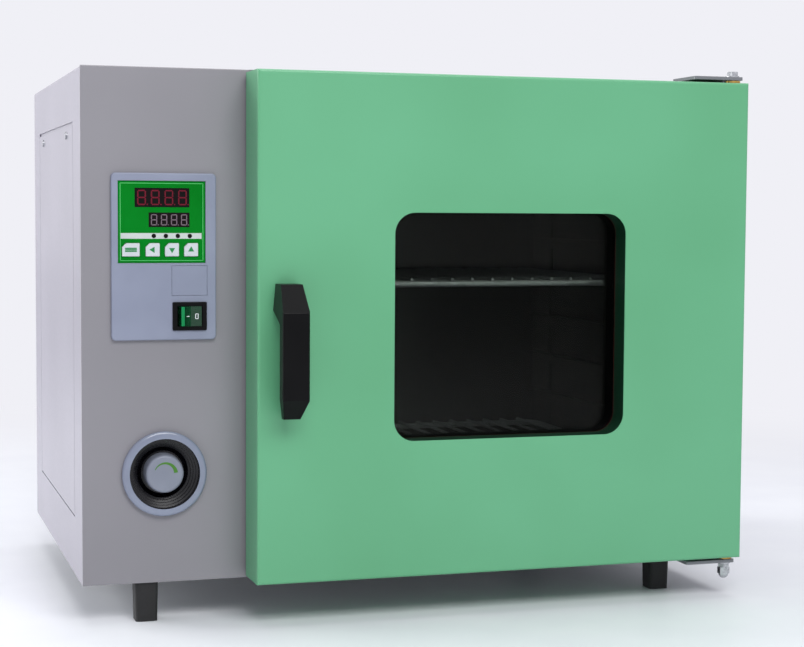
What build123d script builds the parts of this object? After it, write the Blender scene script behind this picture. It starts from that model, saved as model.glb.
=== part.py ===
from build123d import *
import math
import os

os.makedirs("parts", exist_ok=True)

# All sizes are in millimetres. The cabinet stands on Z = 0, faces -Y and has its box centred on X and Y.

# Casing
body_width = 620.0
body_height = 458.0
body_depth = 395.0
casing_steel = 1.5
casing_bend = 3.0
lip = 14.0
fit_gap = 0.3
column_width = 150.0

# Side access cover
cover_width = 285.0
cover_height = 354.5
cover_front_inset = 55.0
cover_low = 54.0
cover_gap = 1.2
cover_top_gap = 3.0
cover_ledge = 14.0
cover_screw_inset = 43.0
cover_screw_drop = 8.0

# Feet
foot_height = 36.0
foot_size = 21.0
foot_side_inset = 57.5
foot_front_inset = 13.5
foot_back_inset = 40.0
foot_taper = 1.5

# Chamber and its insulation
chamber_width = 340.0
chamber_height = 320.0
chamber_depth = 320.0
chamber_corner = 10.0
liner_steel = 1.0
liner_flange = 16.0

# Door
door_width = 474.0
door_height = 452.0
door_depth = 47.5
door_gap = 5.5
door_drop = 3.0
door_steel = 1.2
door_bend = 2.5
window_width = 224.0
window_height = 205.0
window_corner = 19.0
reveal_depth = 22.0
glass_thickness = 4.0
glass_overlap = 10.0
seal_thickness = 1.5
seal_width = 8.0
door_pan_lip = 10.0
gasket_width = 12.0
gasket_offset = 6.0

# Hinges
pivot_inset_x = 10.0
pivot_inset_y = 15.0
pin_radius = 3.0
running_gap = 0.05
bracket_steel = 3.0
bracket_width = 51.0
bracket_side_gap = 2.0
bracket_nose = 7.5
bracket_leg = 26.0
nut_flats = 10.0
nut_height = 4.0
washer_radius = 6.5
washer_thickness = 1.2
cap_nut_length = 11.0
bush_radius = 5.0
bush_length = 16.0
bush_flange_radius = 7.5
bush_flange = 2.4

# Handle and latch
handle_inset = 25.5
handle_drop = 197.5
handle_reach = 38.0
handle_width = 24.0
handle_neck_width = 19.5
handle_tip_width = 15.0
handle_length = 117.0
handle_hub_reach = 20.0
handle_ridge_drop = 24.0
handle_hub_height = 23.0
handle_under_drop = 34.0
handle_grip = 12.0
handle_tip_length = 18.0
handle_tip_front = 22.0
handle_tip_back = 15.0
handle_edge = 1.5
handle_hub_gap = 0.3
latch_radius = 5.0
latch_grip = 14.0
latch_bush_radius = 8.0
tongue_length = 30.0
tongue_width = 8.0
tongue_thickness = 5.0
tongue_setback = 3.0
tongue_corner = 2.0
striker_steel = 1.5
striker_width = 32.0
striker_height = 62.0
striker_slot_gap = 3.0
striker_screw_inset = 6.3
pocket_width = 34.0
pocket_height = 40.0
pocket_depth = 22.0

# Control bezel, measured from the casing's left side and bottom
bezel_x = 72.6
bezel_z = 291.3
bezel_width = 93.3
bezel_height = 147.6
bezel_depth = 4.0
bezel_corner = 4.0
bezel_edge = 1.2
overlay_x = 70.7
overlay_z = 322.0
overlay_width = 77.4
overlay_height = 72.0
overlay_recess = 0.8
overlay_thickness = 1.2
case_width = 74.0
case_height = 66.0
case_depth = 72.0
display_x = 71.0
display_z = 343.5
display_width = 48.7
display_height = 17.0
small_display_x = 77.2
small_display_z = 323.9
small_display_width = 36.5
small_display_height = 12.9
display_thickness = 2.0
display_setback = 0.3
lamp_first_x = 63.5
lamp_pitch = 10.7
lamp_count = 4
lamp_z = 309.7
lamp_radius = 2.0
lamp_depth = 2.0
lamp_proud = 0.4
key_z = 297.5
key_height = 11.6
menu_key_x = 43.2
menu_key_width = 15.4
arrow_key_x = 62.5
arrow_key_pitch = 17.1
arrow_key_width = 12.4
key_cut = 3.5
key_proud = 0.9
key_travel = 0.5
key_skirt = 0.6
key_skirt_thickness = 1.0
key_pocket_depth = 4.0
key_stem_radius = 2.0
key_edge = 0.8
blank_x = 95.2
blank_z = 270.2
blank_width = 31.9
blank_height = 26.7
blank_thickness = 1.5

# Rocker switch
switch_x = 95.2
switch_z = 238.5
switch_width = 30.7
switch_height = 25.3
switch_flange = 1.8
switch_corner = 1.2
switch_body_width = 26.8
switch_body_height = 22.4
switch_body_depth = 24.0
rocker_width = 19.2
rocker_height = 17.6
rocker_tilt = 10.0
rocker_proud = 1.0
rocker_depth = 3.6
rocker_back = 3.0
rocker_pin_radius = 1.2
rocker_pin_length = 1.4

# Vent knob, shaft, duct and rear port
vent_x = 72.6
vent_z = 98.0
ring_radius = 38.0
ring_bore = 31.5
ring_proud = 6.0
cup_floor_radius = 23.0
cup_depth = 9.0
cup_wall = 2.0
knob_draft = 0.8
knob_edge = 1.5
knob_radius = 17.0
knob_front = 6.0
knob_floor_gap = 1.0
vent_shaft_radius = 3.0
duct_radius = 20.5
duct_wall = 1.0
duct_bend = 34.0
duct_inset = 36.0
port_flange_radius = 30.0
port_flange = 2.0
port_spigot = 14.0
port_web = 1.6
port_hub = 7.0
port_boss = 4.0
port_boss_end = 1.5
shutter_gap = 0.4
shutter_overlap = 10.0
shutter_thickness = 1.0
sector_angle = 80.0

# Fan, heater and probe
fan_radius = 62.0
fan_width = 20.0
fan_hub_radius = 11.0
fan_plate = 1.2
fan_blades = 20
fan_hub_length = 14.0
fan_blade_bow = 3.0
fan_blade_lead = 9.0
fan_blade_thickness = 1.0
fan_inner_radius = 46.0
fan_wall_gap = 4.0
fan_shaft_radius = 4.0
fan_shaft_hole = 8.0
motor_radius = 38.0
motor_length = 46.0
motor_standoff = 12.0
motor_stud_circle = 31.0
motor_stud_radius = 2.5
duct_panel_depth = 28.0
duct_slot_width = 6.0
duct_slot_length = 34.0
duct_slot_count = 8
inlet_radius = 40.0
inlet_inner_radius = 14.0
inlet_slots = 12
heater_radius = 4.0
heater_reach = 98.0
heater_corner = 18.0
heater_terminal_spread = 50.0
heater_tail = 14.0
probe_radius = 2.5
probe_reach = 13.0
probe_side = 60.0
probe_rise = 85.0

# Shelves and rails
shelf_rod = 3.0
wire_radius = 1.5
wire_pitch = 20.0
shelf_front_setback = 10.0
shelf_depth = 290.0
shelf_corner = 12.0
shelf_side_gap = 1.5
shelf_rung = 4
rail_strip = 16.0
rail_steel = 3.0
rail_ledge = 12.0
rail_ledge_thickness = 1.2
rail_pitch = 42.5
rail_levels = 7
rail_first = 22.7
rail_inset = 50.0

# Back of the cabinet
gland_inset = 42.0
gland_z = 60.0
gland_reach = 20.0
gland_flats = 24.0
gland_hex = 6.0
gland_bore = 4.5
gland_dome_foot = 10.8
gland_dome_tip = 7.7
louvre_count = 7
louvre_width = 86.0
louvre_pitch = 17.0
louvre_gap = 5.0
louvre_hood = 4.0
louvre_low = 180.0
screw_radius = 3.5
screw_head = 1.8
screw_shank = 1.9
screw_length = 5.0
rear_screw_length = 3.2
screw_edge = 9.0

# Relay in the electrical space
relay_width = 45.0
relay_length = 58.0
relay_height = 24.0
relay_base = 4.0
relay_fin = 2.0
relay_fins = 6
relay_fin_height = 26.0
relay_x = 96.0
relay_y = 130.0

# Datum places that follow from the sizes
left = -body_width / 2
right = body_width / 2
bottom = foot_height
top = bottom + body_height
overall_depth = handle_reach + door_depth + door_gap + body_depth + gland_reach
front = handle_reach + door_depth + door_gap - overall_depth / 2
back = front + body_depth
body_z = (bottom + top) / 2
seam = left + column_width

door_back = front - door_gap
door_front = door_back - door_depth
door_left = right - door_width
door_top = top - door_drop
door_bottom = door_top - door_height
door_x = (door_left + right) / 2
door_z = (door_bottom + door_top) / 2

chamber_left = door_x - chamber_width / 2
chamber_right = door_x + chamber_width / 2
chamber_floor = door_z - chamber_height / 2
chamber_roof = door_z + chamber_height / 2
chamber_back = front + chamber_depth
chamber_y = front + chamber_depth / 2


def facing_front(y):
    """Plane at depth y with local x to the right and local y up; depth runs along minus its normal."""
    return Plane.XZ.offset(-y)


def facing_side(x):
    """Plane at x with local x towards the back and local y up."""
    return Plane.YZ.offset(x)


def facing_up(z):
    """Plane at height z with local x to the right and local y towards the back."""
    return Plane.XY.offset(z)


def plate(x, z, width, height, corner, y_from, y_to, mode=Mode.ADD):
    """Add or cut a rounded rectangle that stands in the front view, from depth y_from to y_to."""
    with BuildSketch(facing_front(y_from)) as outline:
        with Locations((x, z)):
            if corner > 0:
                RectangleRounded(width, height, corner)
            else:
                Rectangle(width, height)
    extrude(outline.sketch, amount=-(y_to - y_from), mode=mode)


def frame_ring(x, z, width, height, corner, wall, y_from, y_to):
    """Add a rectangular ring whose opening is width by height."""
    with BuildSketch(facing_front(y_from)) as outline:
        with Locations((x, z)):
            RectangleRounded(width + 2 * wall, height + 2 * wall, corner + wall)
            RectangleRounded(width, height, corner, mode=Mode.SUBTRACT)
    extrude(outline.sketch, amount=-(y_to - y_from))


def disc(x, z, radius, y_from, y_to, mode=Mode.ADD):
    """Add or cut a round stud or hole along Y."""
    with BuildSketch(facing_front(y_from)) as outline:
        with Locations((x, z)):
            Circle(radius)
    extrude(outline.sketch, amount=-(y_to - y_from), mode=mode)


def cross_disc(y, z, radius, x_from, x_to, mode=Mode.ADD):
    """Add or cut a round stud or hole along X."""
    with BuildSketch(facing_side(x_from)) as outline:
        with Locations((y, z)):
            Circle(radius)
    extrude(outline.sketch, amount=x_to - x_from, mode=mode)


def upright_disc(x, y, radius, z_from, z_to, mode=Mode.ADD):
    """Add or cut a round stud or hole along Z."""
    with BuildSketch(facing_up(z_from)) as outline:
        with Locations((x, y)):
            Circle(radius)
    extrude(outline.sketch, amount=z_to - z_from, mode=mode)


def block(x_from, x_to, y_from, y_to, z_from, z_to, mode=Mode.ADD):
    """Add or cut a block between two corners."""
    with BuildSketch(facing_up(z_from)) as outline:
        with Locations(((x_from + x_to) / 2, (y_from + y_to) / 2)):
            Rectangle(x_to - x_from, y_to - y_from)
    extrude(outline.sketch, amount=z_to - z_from, mode=mode)


def finish(piece, label):
    """Name a finished piece and write it."""
    piece.part.label = label
    export_step(piece.part, f"parts/{label}.step")


# Places shared by several pieces
inner_left = left + casing_steel
inner_right = right - casing_steel
inner_top = top - casing_steel
sheet_back = front + casing_steel
sheet_rear = back - casing_steel
partition_left = seam + casing_steel
partition_right = partition_left + casing_steel

cover_y = front + cover_front_inset + cover_width / 2
cover_z = bottom + cover_low + cover_height / 2
cover_top = cover_z + cover_height / 2
cover_screw_z = cover_top - cover_screw_drop
cover_screw_ys = [cover_y + side * (cover_width / 2 - cover_screw_inset) for side in (-1, 1)]

pivot_x = right - pivot_inset_x
pivot_y = door_front + pivot_inset_y
bracket_x = right - bracket_side_gap - bracket_width / 2
bracket_face = front - bracket_steel
bracket_screw_xs = [bracket_x + side * bracket_width / 4 for side in (-1, 1)]
bracket_screws = [(x, z) for x in bracket_screw_xs for z in (top - bracket_leg / 2, bottom + bracket_leg / 2)]

handle_x = door_left + handle_inset
handle_z = door_top - handle_drop
pocket_back = sheet_back + pocket_depth
tongue_front = front + tongue_setback
striker_screws = [(handle_x, handle_z + side * (striker_height / 2 - striker_screw_inset)) for side in (-1, 1)]

panel_x = left + bezel_x
panel_z = bottom + bezel_z
bezel_front = front - bezel_depth
overlay_front = bezel_front + overlay_recess
overlay_back = overlay_front + overlay_thickness
case_x = left + overlay_x
case_z = bottom + overlay_z
keys_z = bottom + key_z
switch_center_x = left + switch_x
switch_center_z = bottom + switch_z
blank_center_x = left + blank_x
blank_center_z = bottom + blank_z

vent_center_x = left + vent_x
vent_center_z = bottom + vent_z
duct_y = chamber_back - duct_inset

duct_panel_x = chamber_left + duct_panel_depth
fan_plane_x = chamber_left + fan_wall_gap
motor_right = partition_left - motor_standoff
heater_x = chamber_left + duct_panel_depth / 2
heater_low = door_z - heater_reach
heater_terminal_ys = [chamber_y + side * heater_terminal_spread / 2 for side in (-1, 1)]
probe_y = chamber_y + probe_side
probe_z = door_z + probe_rise

rail_levels_z = [chamber_floor + rail_first + rail_pitch * k for k in range(rail_levels)]
shelf_x = (duct_panel_x + chamber_right) / 2
shelf_width = chamber_right - duct_panel_x - 2 * (rail_steel + shelf_side_gap)
shelf_front = front + shelf_front_setback
shelf_back = shelf_front + shelf_depth
rear_screws = [(x, z) for x in (left + screw_edge, right - screw_edge) for z in (bottom + screw_edge, body_z)]
rear_screws += [(x, top - screw_edge) for x in (left + screw_edge, 0, right - screw_edge)] + [(0, bottom + screw_edge)]
gland_x = left + gland_inset
gland_center_z = bottom + gland_z

# Casing wrap: top and both sides folded from one sheet, with the access opening on the left
with BuildPart() as casing_wrap:
    with BuildSketch(facing_front(sheet_back)) as wrap_outline:
        with Locations((0, body_z)):
            Rectangle(body_width, body_height)
        fillet(vertices().group_by(Axis.Y)[-1], casing_bend)
    extrude(amount=-(sheet_rear - sheet_back))
    with BuildSketch(facing_front(sheet_back)) as wrap_hollow:
        with Locations((0, body_z - casing_steel / 2)):
            Rectangle(body_width - 2 * casing_steel, body_height - casing_steel)
        fillet(vertices().group_by(Axis.Y)[-1], casing_bend - casing_steel)
    extrude(amount=-(sheet_rear - sheet_back), mode=Mode.SUBTRACT)
    with BuildSketch(facing_side(left)) as access_opening:
        with Locations((cover_y, cover_z + (cover_top_gap - cover_gap) / 2)):
            Rectangle(cover_width + 2 * cover_gap, cover_height + cover_gap + cover_top_gap)
    extrude(amount=casing_steel, mode=Mode.SUBTRACT)
    with BuildSketch(facing_side(inner_left)) as access_ledge:
        with Locations((cover_y, cover_z + cover_top_gap)):
            Rectangle(cover_width + 2 * cover_ledge, cover_height + cover_ledge)
        with Locations((cover_y, cover_z - cover_ledge)):
            Rectangle(cover_width - 2 * cover_ledge, cover_height + cover_ledge, mode=Mode.SUBTRACT)
        with Locations((cover_y, cover_z - cover_height / 2)):
            Rectangle(cover_width + 3 * cover_ledge, 2 * cover_ledge, mode=Mode.SUBTRACT)
    extrude(amount=casing_steel)
    for screw_y in cover_screw_ys:
        cross_disc(screw_y, cover_screw_z, screw_shank + fit_gap, inner_left, inner_left + casing_steel, Mode.SUBTRACT)
    flange_front = sheet_rear - casing_steel
    block(inner_left, inner_right, flange_front, sheet_rear, inner_top - lip, inner_top)
    block(inner_left, inner_left + lip, flange_front, sheet_rear, bottom + lip + casing_steel, inner_top)
    block(inner_right - lip, inner_right, flange_front, sheet_rear, bottom + lip + casing_steel, inner_top)
    for x, z in rear_screws:
        disc(x, z, screw_shank + fit_gap, flange_front, sheet_rear, Mode.SUBTRACT)
finish(casing_wrap, "casing_wrap")

# Access cover: flat sheet held by two screws at the top and a tongue behind the casing's lower edge
with BuildPart() as access_cover:
    with BuildSketch(facing_side(left)):
        with Locations((cover_y, cover_z)):
            RectangleRounded(cover_width, cover_height, cover_gap)
    extrude(amount=casing_steel)
    with BuildSketch(facing_side(inner_left)):
        with Locations((cover_y, cover_z - cover_height / 2)):
            Rectangle(cover_width - 4 * cover_ledge, 2 * cover_ledge)
    extrude(amount=casing_steel)
    for screw_y in cover_screw_ys:
        cross_disc(screw_y, cover_screw_z, screw_shank + fit_gap, left, inner_left, Mode.SUBTRACT)
finish(access_cover, "access_cover")

# Column panel: the grey face that carries the controls
with BuildPart() as column_panel:
    plate((left + seam) / 2, body_z, column_width, body_height, 0, front, sheet_back)
    lip_left = inner_left + fit_gap
    lip_low = bottom + lip + 2 * casing_steel
    lip_high = inner_top - fit_gap
    lip_notch = lip_high - 2 * casing_steel
    block(lip_left + 2 * casing_steel, seam, sheet_back, sheet_back + lip, lip_high - casing_steel, lip_high)
    block(lip_left, lip_left + casing_steel, sheet_back, sheet_back + lip, lip_low, lip_notch)
    block(seam - casing_steel, seam, sheet_back, sheet_back + lip, lip_low, lip_high)
    fillet(edges().group_by(Axis.Y)[0].group_by(Axis.Z)[-1], casing_steel * 0.6)
    plate(case_x, case_z, case_width + 2 * fit_gap, case_height + 2 * fit_gap, 0, front, sheet_back, Mode.SUBTRACT)
    plate(
        switch_center_x, switch_center_z, switch_body_width + 2 * fit_gap, switch_body_height + 2 * fit_gap,
        0, front, sheet_back, Mode.SUBTRACT,
    )
    disc(vent_center_x, vent_center_z, ring_bore + cup_wall + fit_gap, front, sheet_back, Mode.SUBTRACT)
finish(column_panel, "column_panel")

# Front frame: the grey face behind the door, with the chamber mouth and the latch opening
with BuildPart() as front_frame:
    frame_width = right - seam
    frame_x = (seam + right) / 2
    plate(frame_x, body_z, frame_width, body_height, 0, front, sheet_back)
    lip_right = inner_right - fit_gap
    block(seam, lip_right - 2 * casing_steel, sheet_back, sheet_back + lip, lip_high - casing_steel, lip_high)
    block(lip_right - casing_steel, lip_right, sheet_back, sheet_back + lip, lip_low, lip_notch)
    block(seam, seam + casing_steel, sheet_back, sheet_back + lip, lip_low, lip_high)
    plate(door_x, door_z, chamber_width, chamber_height, chamber_corner, front, sheet_back, Mode.SUBTRACT)
    plate(
        handle_x, handle_z, tongue_width + 2 * striker_slot_gap, tongue_length + striker_slot_gap,
        tongue_corner, front, sheet_back, Mode.SUBTRACT,
    )
    for x, z in bracket_screws + striker_screws:
        disc(x, z, screw_shank + fit_gap, front, sheet_back, Mode.SUBTRACT)
finish(front_frame, "front_frame")

# Base tray with flanges turned up on all four sides and holes for the foot studs
with BuildPart() as base_plate:
    base_left = inner_left + fit_gap
    base_right = inner_right - fit_gap
    block(base_left, base_right, sheet_back, sheet_rear, bottom, bottom + lip)
    block(
        base_left + casing_steel, base_right - casing_steel, sheet_back + casing_steel, sheet_rear - casing_steel,
        bottom + casing_steel, bottom + lip, Mode.SUBTRACT,
    )
    foot_places = [
        (side * (body_width / 2 - foot_side_inset), foot_y)
        for side in (-1, 1)
        for foot_y in (front + foot_front_inset, back - foot_back_inset)
    ]
    for foot_x, foot_y in foot_places:
        upright_disc(foot_x, foot_y, foot_size / 4, bottom, bottom + casing_steel, Mode.SUBTRACT)
    for x, z in rear_screws:
        disc(x, z, screw_shank + fit_gap, sheet_rear - casing_steel, sheet_rear, Mode.SUBTRACT)
    for x, z in bracket_screws:
        disc(x, z, screw_shank + fit_gap, sheet_back, sheet_back + casing_steel, Mode.SUBTRACT)
    with BuildSketch(facing_up(bottom)):
        with Locations(((left + seam) / 2, front + body_depth / 2)):
            with GridLocations(duct_slot_width * 3, 1, 6, 1):
                SlotCenterToCenter(body_depth / 4, duct_slot_width, rotation=90)
    extrude(amount=casing_steel, mode=Mode.SUBTRACT)
finish(base_plate, "base_plate")

# Feet: tapered square posts with a stud through the tray
with BuildPart() as feet:
    for foot_x, foot_y in foot_places:
        with BuildSketch(Plane.XY) as sole:
            with Locations((foot_x, foot_y)):
                RectangleRounded(foot_size - foot_taper, foot_size - foot_taper, foot_size / 6)
        with BuildSketch(facing_up(bottom)) as shoulder:
            with Locations((foot_x, foot_y)):
                RectangleRounded(foot_size, foot_size, foot_size / 6)
        loft(Sketch() + [sole.sketch, shoulder.sketch])
        upright_disc(foot_x, foot_y, foot_size / 4 - fit_gap, bottom, bottom + casing_steel)
finish(feet, "feet")

# Rear panel with pressed louvres, the vent port hole and the gland hole
with BuildPart() as rear_panel:
    plate(0, body_z, body_width, body_height, casing_bend, sheet_rear, back)
    for x, z in rear_screws:
        disc(x, z, screw_shank + fit_gap, sheet_rear, back, Mode.SUBTRACT)
    disc(vent_center_x, vent_center_z, duct_radius + duct_wall + fit_gap, sheet_rear, back, Mode.SUBTRACT)
    disc(gland_x, gland_center_z, gland_flats / 3, sheet_rear, back, Mode.SUBTRACT)
    for row in range(louvre_count):
        louvre_z = bottom + louvre_low + row * louvre_pitch
        plate((left + seam) / 2, louvre_z, louvre_width, louvre_gap, 0, sheet_rear, back, Mode.SUBTRACT)
        with BuildSketch(facing_side((left + seam) / 2 - louvre_width / 2)) as hood:
            with BuildLine():
                Polyline(
                    (back, louvre_z + louvre_gap / 2 + casing_steel),
                    (back, louvre_z + louvre_gap / 2),
                    (back + louvre_hood - casing_steel, louvre_z - louvre_gap / 2),
                    (back + louvre_hood, louvre_z - louvre_gap / 2),
                    close=True,
                )
            make_face()
        extrude(hood.sketch, amount=louvre_width)
finish(rear_panel, "rear_panel")

# Partition panel between the chamber and the electrical space
with BuildPart() as partition_panel:
    block(partition_left, partition_right, sheet_back, sheet_rear, bottom + casing_steel, inner_top - fit_gap)
    block(partition_left, partition_right, sheet_back, sheet_back + casing_steel + fit_gap,
          bottom, bottom + lip + fit_gap, Mode.SUBTRACT)
    block(partition_left, partition_right, sheet_rear - casing_steel - fit_gap, sheet_rear,
          bottom, bottom + lip + fit_gap, Mode.SUBTRACT)
    block(
        partition_left, partition_right, sheet_back, sheet_back + lip + fit_gap,
        lip_high - casing_steel - fit_gap, inner_top, Mode.SUBTRACT,
    )
    block(
        partition_left, partition_right, sheet_rear - casing_steel - fit_gap, sheet_rear,
        inner_top - lip - fit_gap, inner_top, Mode.SUBTRACT,
    )
    block(
        partition_left - lip, partition_left, sheet_back + 2 * lip, sheet_rear - 2 * lip,
        bottom + casing_steel, bottom + 2 * casing_steel,
    )
    cross_disc(chamber_y, door_z, fan_shaft_hole, partition_left, partition_right, Mode.SUBTRACT)
    cross_disc(duct_y, vent_center_z, duct_radius + duct_wall + fit_gap, partition_left, partition_right, Mode.SUBTRACT)
    cross_disc(probe_y, probe_z, probe_radius + 1.0, partition_left, partition_right, Mode.SUBTRACT)
    for terminal_y in heater_terminal_ys:
        cross_disc(terminal_y, heater_low, heater_radius + 1.0, partition_left, partition_right, Mode.SUBTRACT)
finish(partition_panel, "partition_panel")


def wall_holes(x_from, x_to, slack):
    """Cut the holes for the shaft, vent duct, probe and heater ends through a wall of the chamber's left side."""
    cross_disc(chamber_y, door_z, fan_shaft_hole + slack, x_from, x_to, Mode.SUBTRACT)
    cross_disc(duct_y, vent_center_z, duct_radius + duct_wall + fit_gap + slack, x_from, x_to, Mode.SUBTRACT)
    cross_disc(probe_y, probe_z, probe_radius + fit_gap + slack, x_from, x_to, Mode.SUBTRACT)
    for terminal_y in heater_terminal_ys:
        cross_disc(terminal_y, heater_low, heater_radius + fit_gap + slack, x_from, x_to, Mode.SUBTRACT)


# Chamber liner: stainless box with rounded corners and a flange behind the front frame
with BuildPart() as chamber_liner:
    frame_ring(
        door_x, door_z, chamber_width, chamber_height, chamber_corner, liner_flange,
        sheet_back, sheet_back + liner_steel,
    )
    frame_ring(
        door_x, door_z, chamber_width, chamber_height, chamber_corner, liner_steel,
        sheet_back, chamber_back,
    )
    plate(
        door_x, door_z, chamber_width + 2 * liner_steel, chamber_height + 2 * liner_steel,
        chamber_corner + liner_steel, chamber_back, chamber_back + liner_steel,
    )
    wall_holes(chamber_left - liner_steel, chamber_left, 0)
finish(chamber_liner, "chamber_liner")

# Mineral wool round the liner
with BuildPart() as chamber_insulation:
    wool_left = partition_right + fit_gap
    wool_right = lip_right - casing_steel - fit_gap
    wool_low = bottom + casing_steel + fit_gap
    wool_high = lip_high - casing_steel - fit_gap
    wool_front = sheet_back + screw_length + fit_gap
    wool_back = sheet_rear - casing_steel - fit_gap
    block(wool_left, wool_right, wool_front, wool_back, wool_low, wool_high)
    block(
        wool_left, partition_right + casing_steel, wool_front, sheet_back + lip + fit_gap,
        wool_low, wool_high, Mode.SUBTRACT,
    )
    plate(
        door_x, door_z, chamber_width + 2 * (liner_steel + fit_gap), chamber_height + 2 * (liner_steel + fit_gap),
        chamber_corner + liner_steel, wool_front, chamber_back + liner_steel + fit_gap, Mode.SUBTRACT,
    )
    plate(
        handle_x, handle_z, pocket_width + 2 * (liner_steel + fit_gap), pocket_height + 2 * (liner_steel + fit_gap),
        0, wool_front, pocket_back + liner_steel + fit_gap, Mode.SUBTRACT,
    )
    wall_holes(wool_left, chamber_left, 1.0)
finish(chamber_insulation, "chamber_insulation")

# Duct panel: a channel that stands off the chamber's left wall, with the fan inlet and outlet slots
with BuildPart() as duct_panel:
    panel_front = sheet_back + liner_steel + 2 * fit_gap
    panel_back = chamber_back - fit_gap
    panel_low = chamber_floor + chamber_corner
    panel_high = chamber_roof - chamber_corner
    block(duct_panel_x - liner_steel, duct_panel_x, panel_front, panel_back, panel_low, panel_high)
    for flange_y in (panel_front, panel_back - liner_steel):
        block(
            chamber_left + fit_gap, duct_panel_x, flange_y, flange_y + liner_steel, panel_low, panel_high,
        )
    with BuildSketch(facing_side(duct_panel_x - liner_steel)):
        with Locations((chamber_y, door_z)):
            with PolarLocations((inlet_radius + inlet_inner_radius) / 2, inlet_slots):
                SlotOverall(inlet_radius - inlet_inner_radius, duct_slot_width)
        for side in (-1, 1):
            with Locations((chamber_y, door_z + side * (chamber_height / 2 - chamber_corner - duct_slot_length))):
                with GridLocations(duct_slot_length, 1, duct_slot_count, 1):
                    SlotOverall(duct_slot_length, duct_slot_width, rotation=90)
    extrude(amount=liner_steel, mode=Mode.SUBTRACT)
    cross_disc(probe_y, probe_z, probe_radius + fit_gap, duct_panel_x - liner_steel, duct_panel_x, Mode.SUBTRACT)
finish(duct_panel, "duct_panel")


def shelf_rail(wall_x, inward):
    """Two uprights on a chamber wall with a ladder of ledges; inward is the way from the wall into the chamber."""
    strip_x = sorted((wall_x, wall_x + inward * rail_steel))
    ledge_x = sorted((wall_x + inward * rail_steel, wall_x + inward * (rail_steel + rail_ledge)))
    web_x = sorted((wall_x + inward * rail_steel, wall_x + inward * (rail_steel + rail_ledge_thickness)))
    rail_front = front + rail_inset / 2
    rail_back = chamber_back - rail_inset / 2
    with BuildPart() as rail:
        for strip_y in (front + rail_inset, chamber_back - rail_inset):
            block(*strip_x, strip_y - rail_strip / 2, strip_y + rail_strip / 2,
                  rail_levels_z[0] - rail_ledge, rail_levels_z[-1] + rail_ledge)
        for level in rail_levels_z:
            block(*ledge_x, rail_front, rail_back, level - rail_ledge_thickness, level)
            block(*web_x, rail_front, rail_back, level - rail_ledge, level)
    return rail


rail_left = shelf_rail(duct_panel_x, 1)
finish(rail_left, "shelf_rail_left")
rail_right = shelf_rail(chamber_right, -1)
finish(rail_right, "shelf_rail_right")


def wire_shelf(rod_z):
    """Rod frame with rounded corners, a cross rod and wires along the depth."""
    half_x = shelf_width / 2 - shelf_rod
    wire_z = rod_z + shelf_rod + wire_radius * 0.7
    wire_count = int((shelf_width - 2 * shelf_rod - wire_pitch / 2) // wire_pitch) // 2 * 2
    middle_y = (shelf_front + shelf_back) / 2
    with BuildPart() as shelf:
        with BuildSketch(facing_up(rod_z), mode=Mode.PRIVATE) as loop:
            with Locations((shelf_x, middle_y)):
                RectangleRounded(2 * half_x, shelf_depth - 2 * shelf_rod, shelf_corner)
        path = loop.sketch.wires()[0]
        with BuildSketch(Plane(origin=path @ 0, z_dir=path % 0)) as rod_section:
            Circle(shelf_rod)
        sweep(rod_section.sketch, path=path)
        cross_disc(middle_y, rod_z, shelf_rod, shelf_x - half_x, shelf_x + half_x)
        with BuildSketch(facing_front(shelf_front)) as wire_sections:
            with Locations((shelf_x, wire_z)):
                with GridLocations(wire_pitch, 1, wire_count, 1):
                    Circle(wire_radius)
        extrude(wire_sections.sketch, amount=-shelf_depth)
    return shelf


upper_shelf = wire_shelf(rail_levels_z[shelf_rung] + shelf_rod + fit_gap)
finish(upper_shelf, "shelf_upper")
lower_shelf = wire_shelf(rail_levels_z[0] + shelf_rod + fit_gap)
finish(lower_shelf, "shelf_lower")

# Heating element: one bent tube round the impeller, with both ends through the wall
with BuildPart() as heater_element:
    heater_start = partition_left - heater_tail
    with BuildLine() as heater_path:
        FilletPolyline(
            (heater_start, heater_terminal_ys[0], heater_low),
            (heater_x, heater_terminal_ys[0], heater_low),
            (heater_x, chamber_y - heater_reach, heater_low),
            (heater_x, chamber_y - heater_reach, door_z + heater_reach),
            (heater_x, chamber_y + heater_reach, door_z + heater_reach),
            (heater_x, chamber_y + heater_reach, heater_low),
            (heater_x, heater_terminal_ys[1], heater_low),
            (heater_start, heater_terminal_ys[1], heater_low),
            radius=[8, heater_corner, heater_corner, heater_corner, heater_corner, 8],
        )
    with BuildSketch(Plane(origin=(heater_start, heater_terminal_ys[0], heater_low), z_dir=(1, 0, 0))):
        Circle(heater_radius)
    sweep()
finish(heater_element, "heater_element")

# Temperature probe through the wall and the duct panel
with BuildPart() as sensor_probe:
    cross_disc(probe_y, probe_z, probe_radius, partition_left - heater_tail, duct_panel_x + probe_reach)
    cross_disc(probe_y, probe_z, probe_radius * 2, partition_left - heater_tail, partition_left)
finish(sensor_probe, "sensor_probe")

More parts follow.
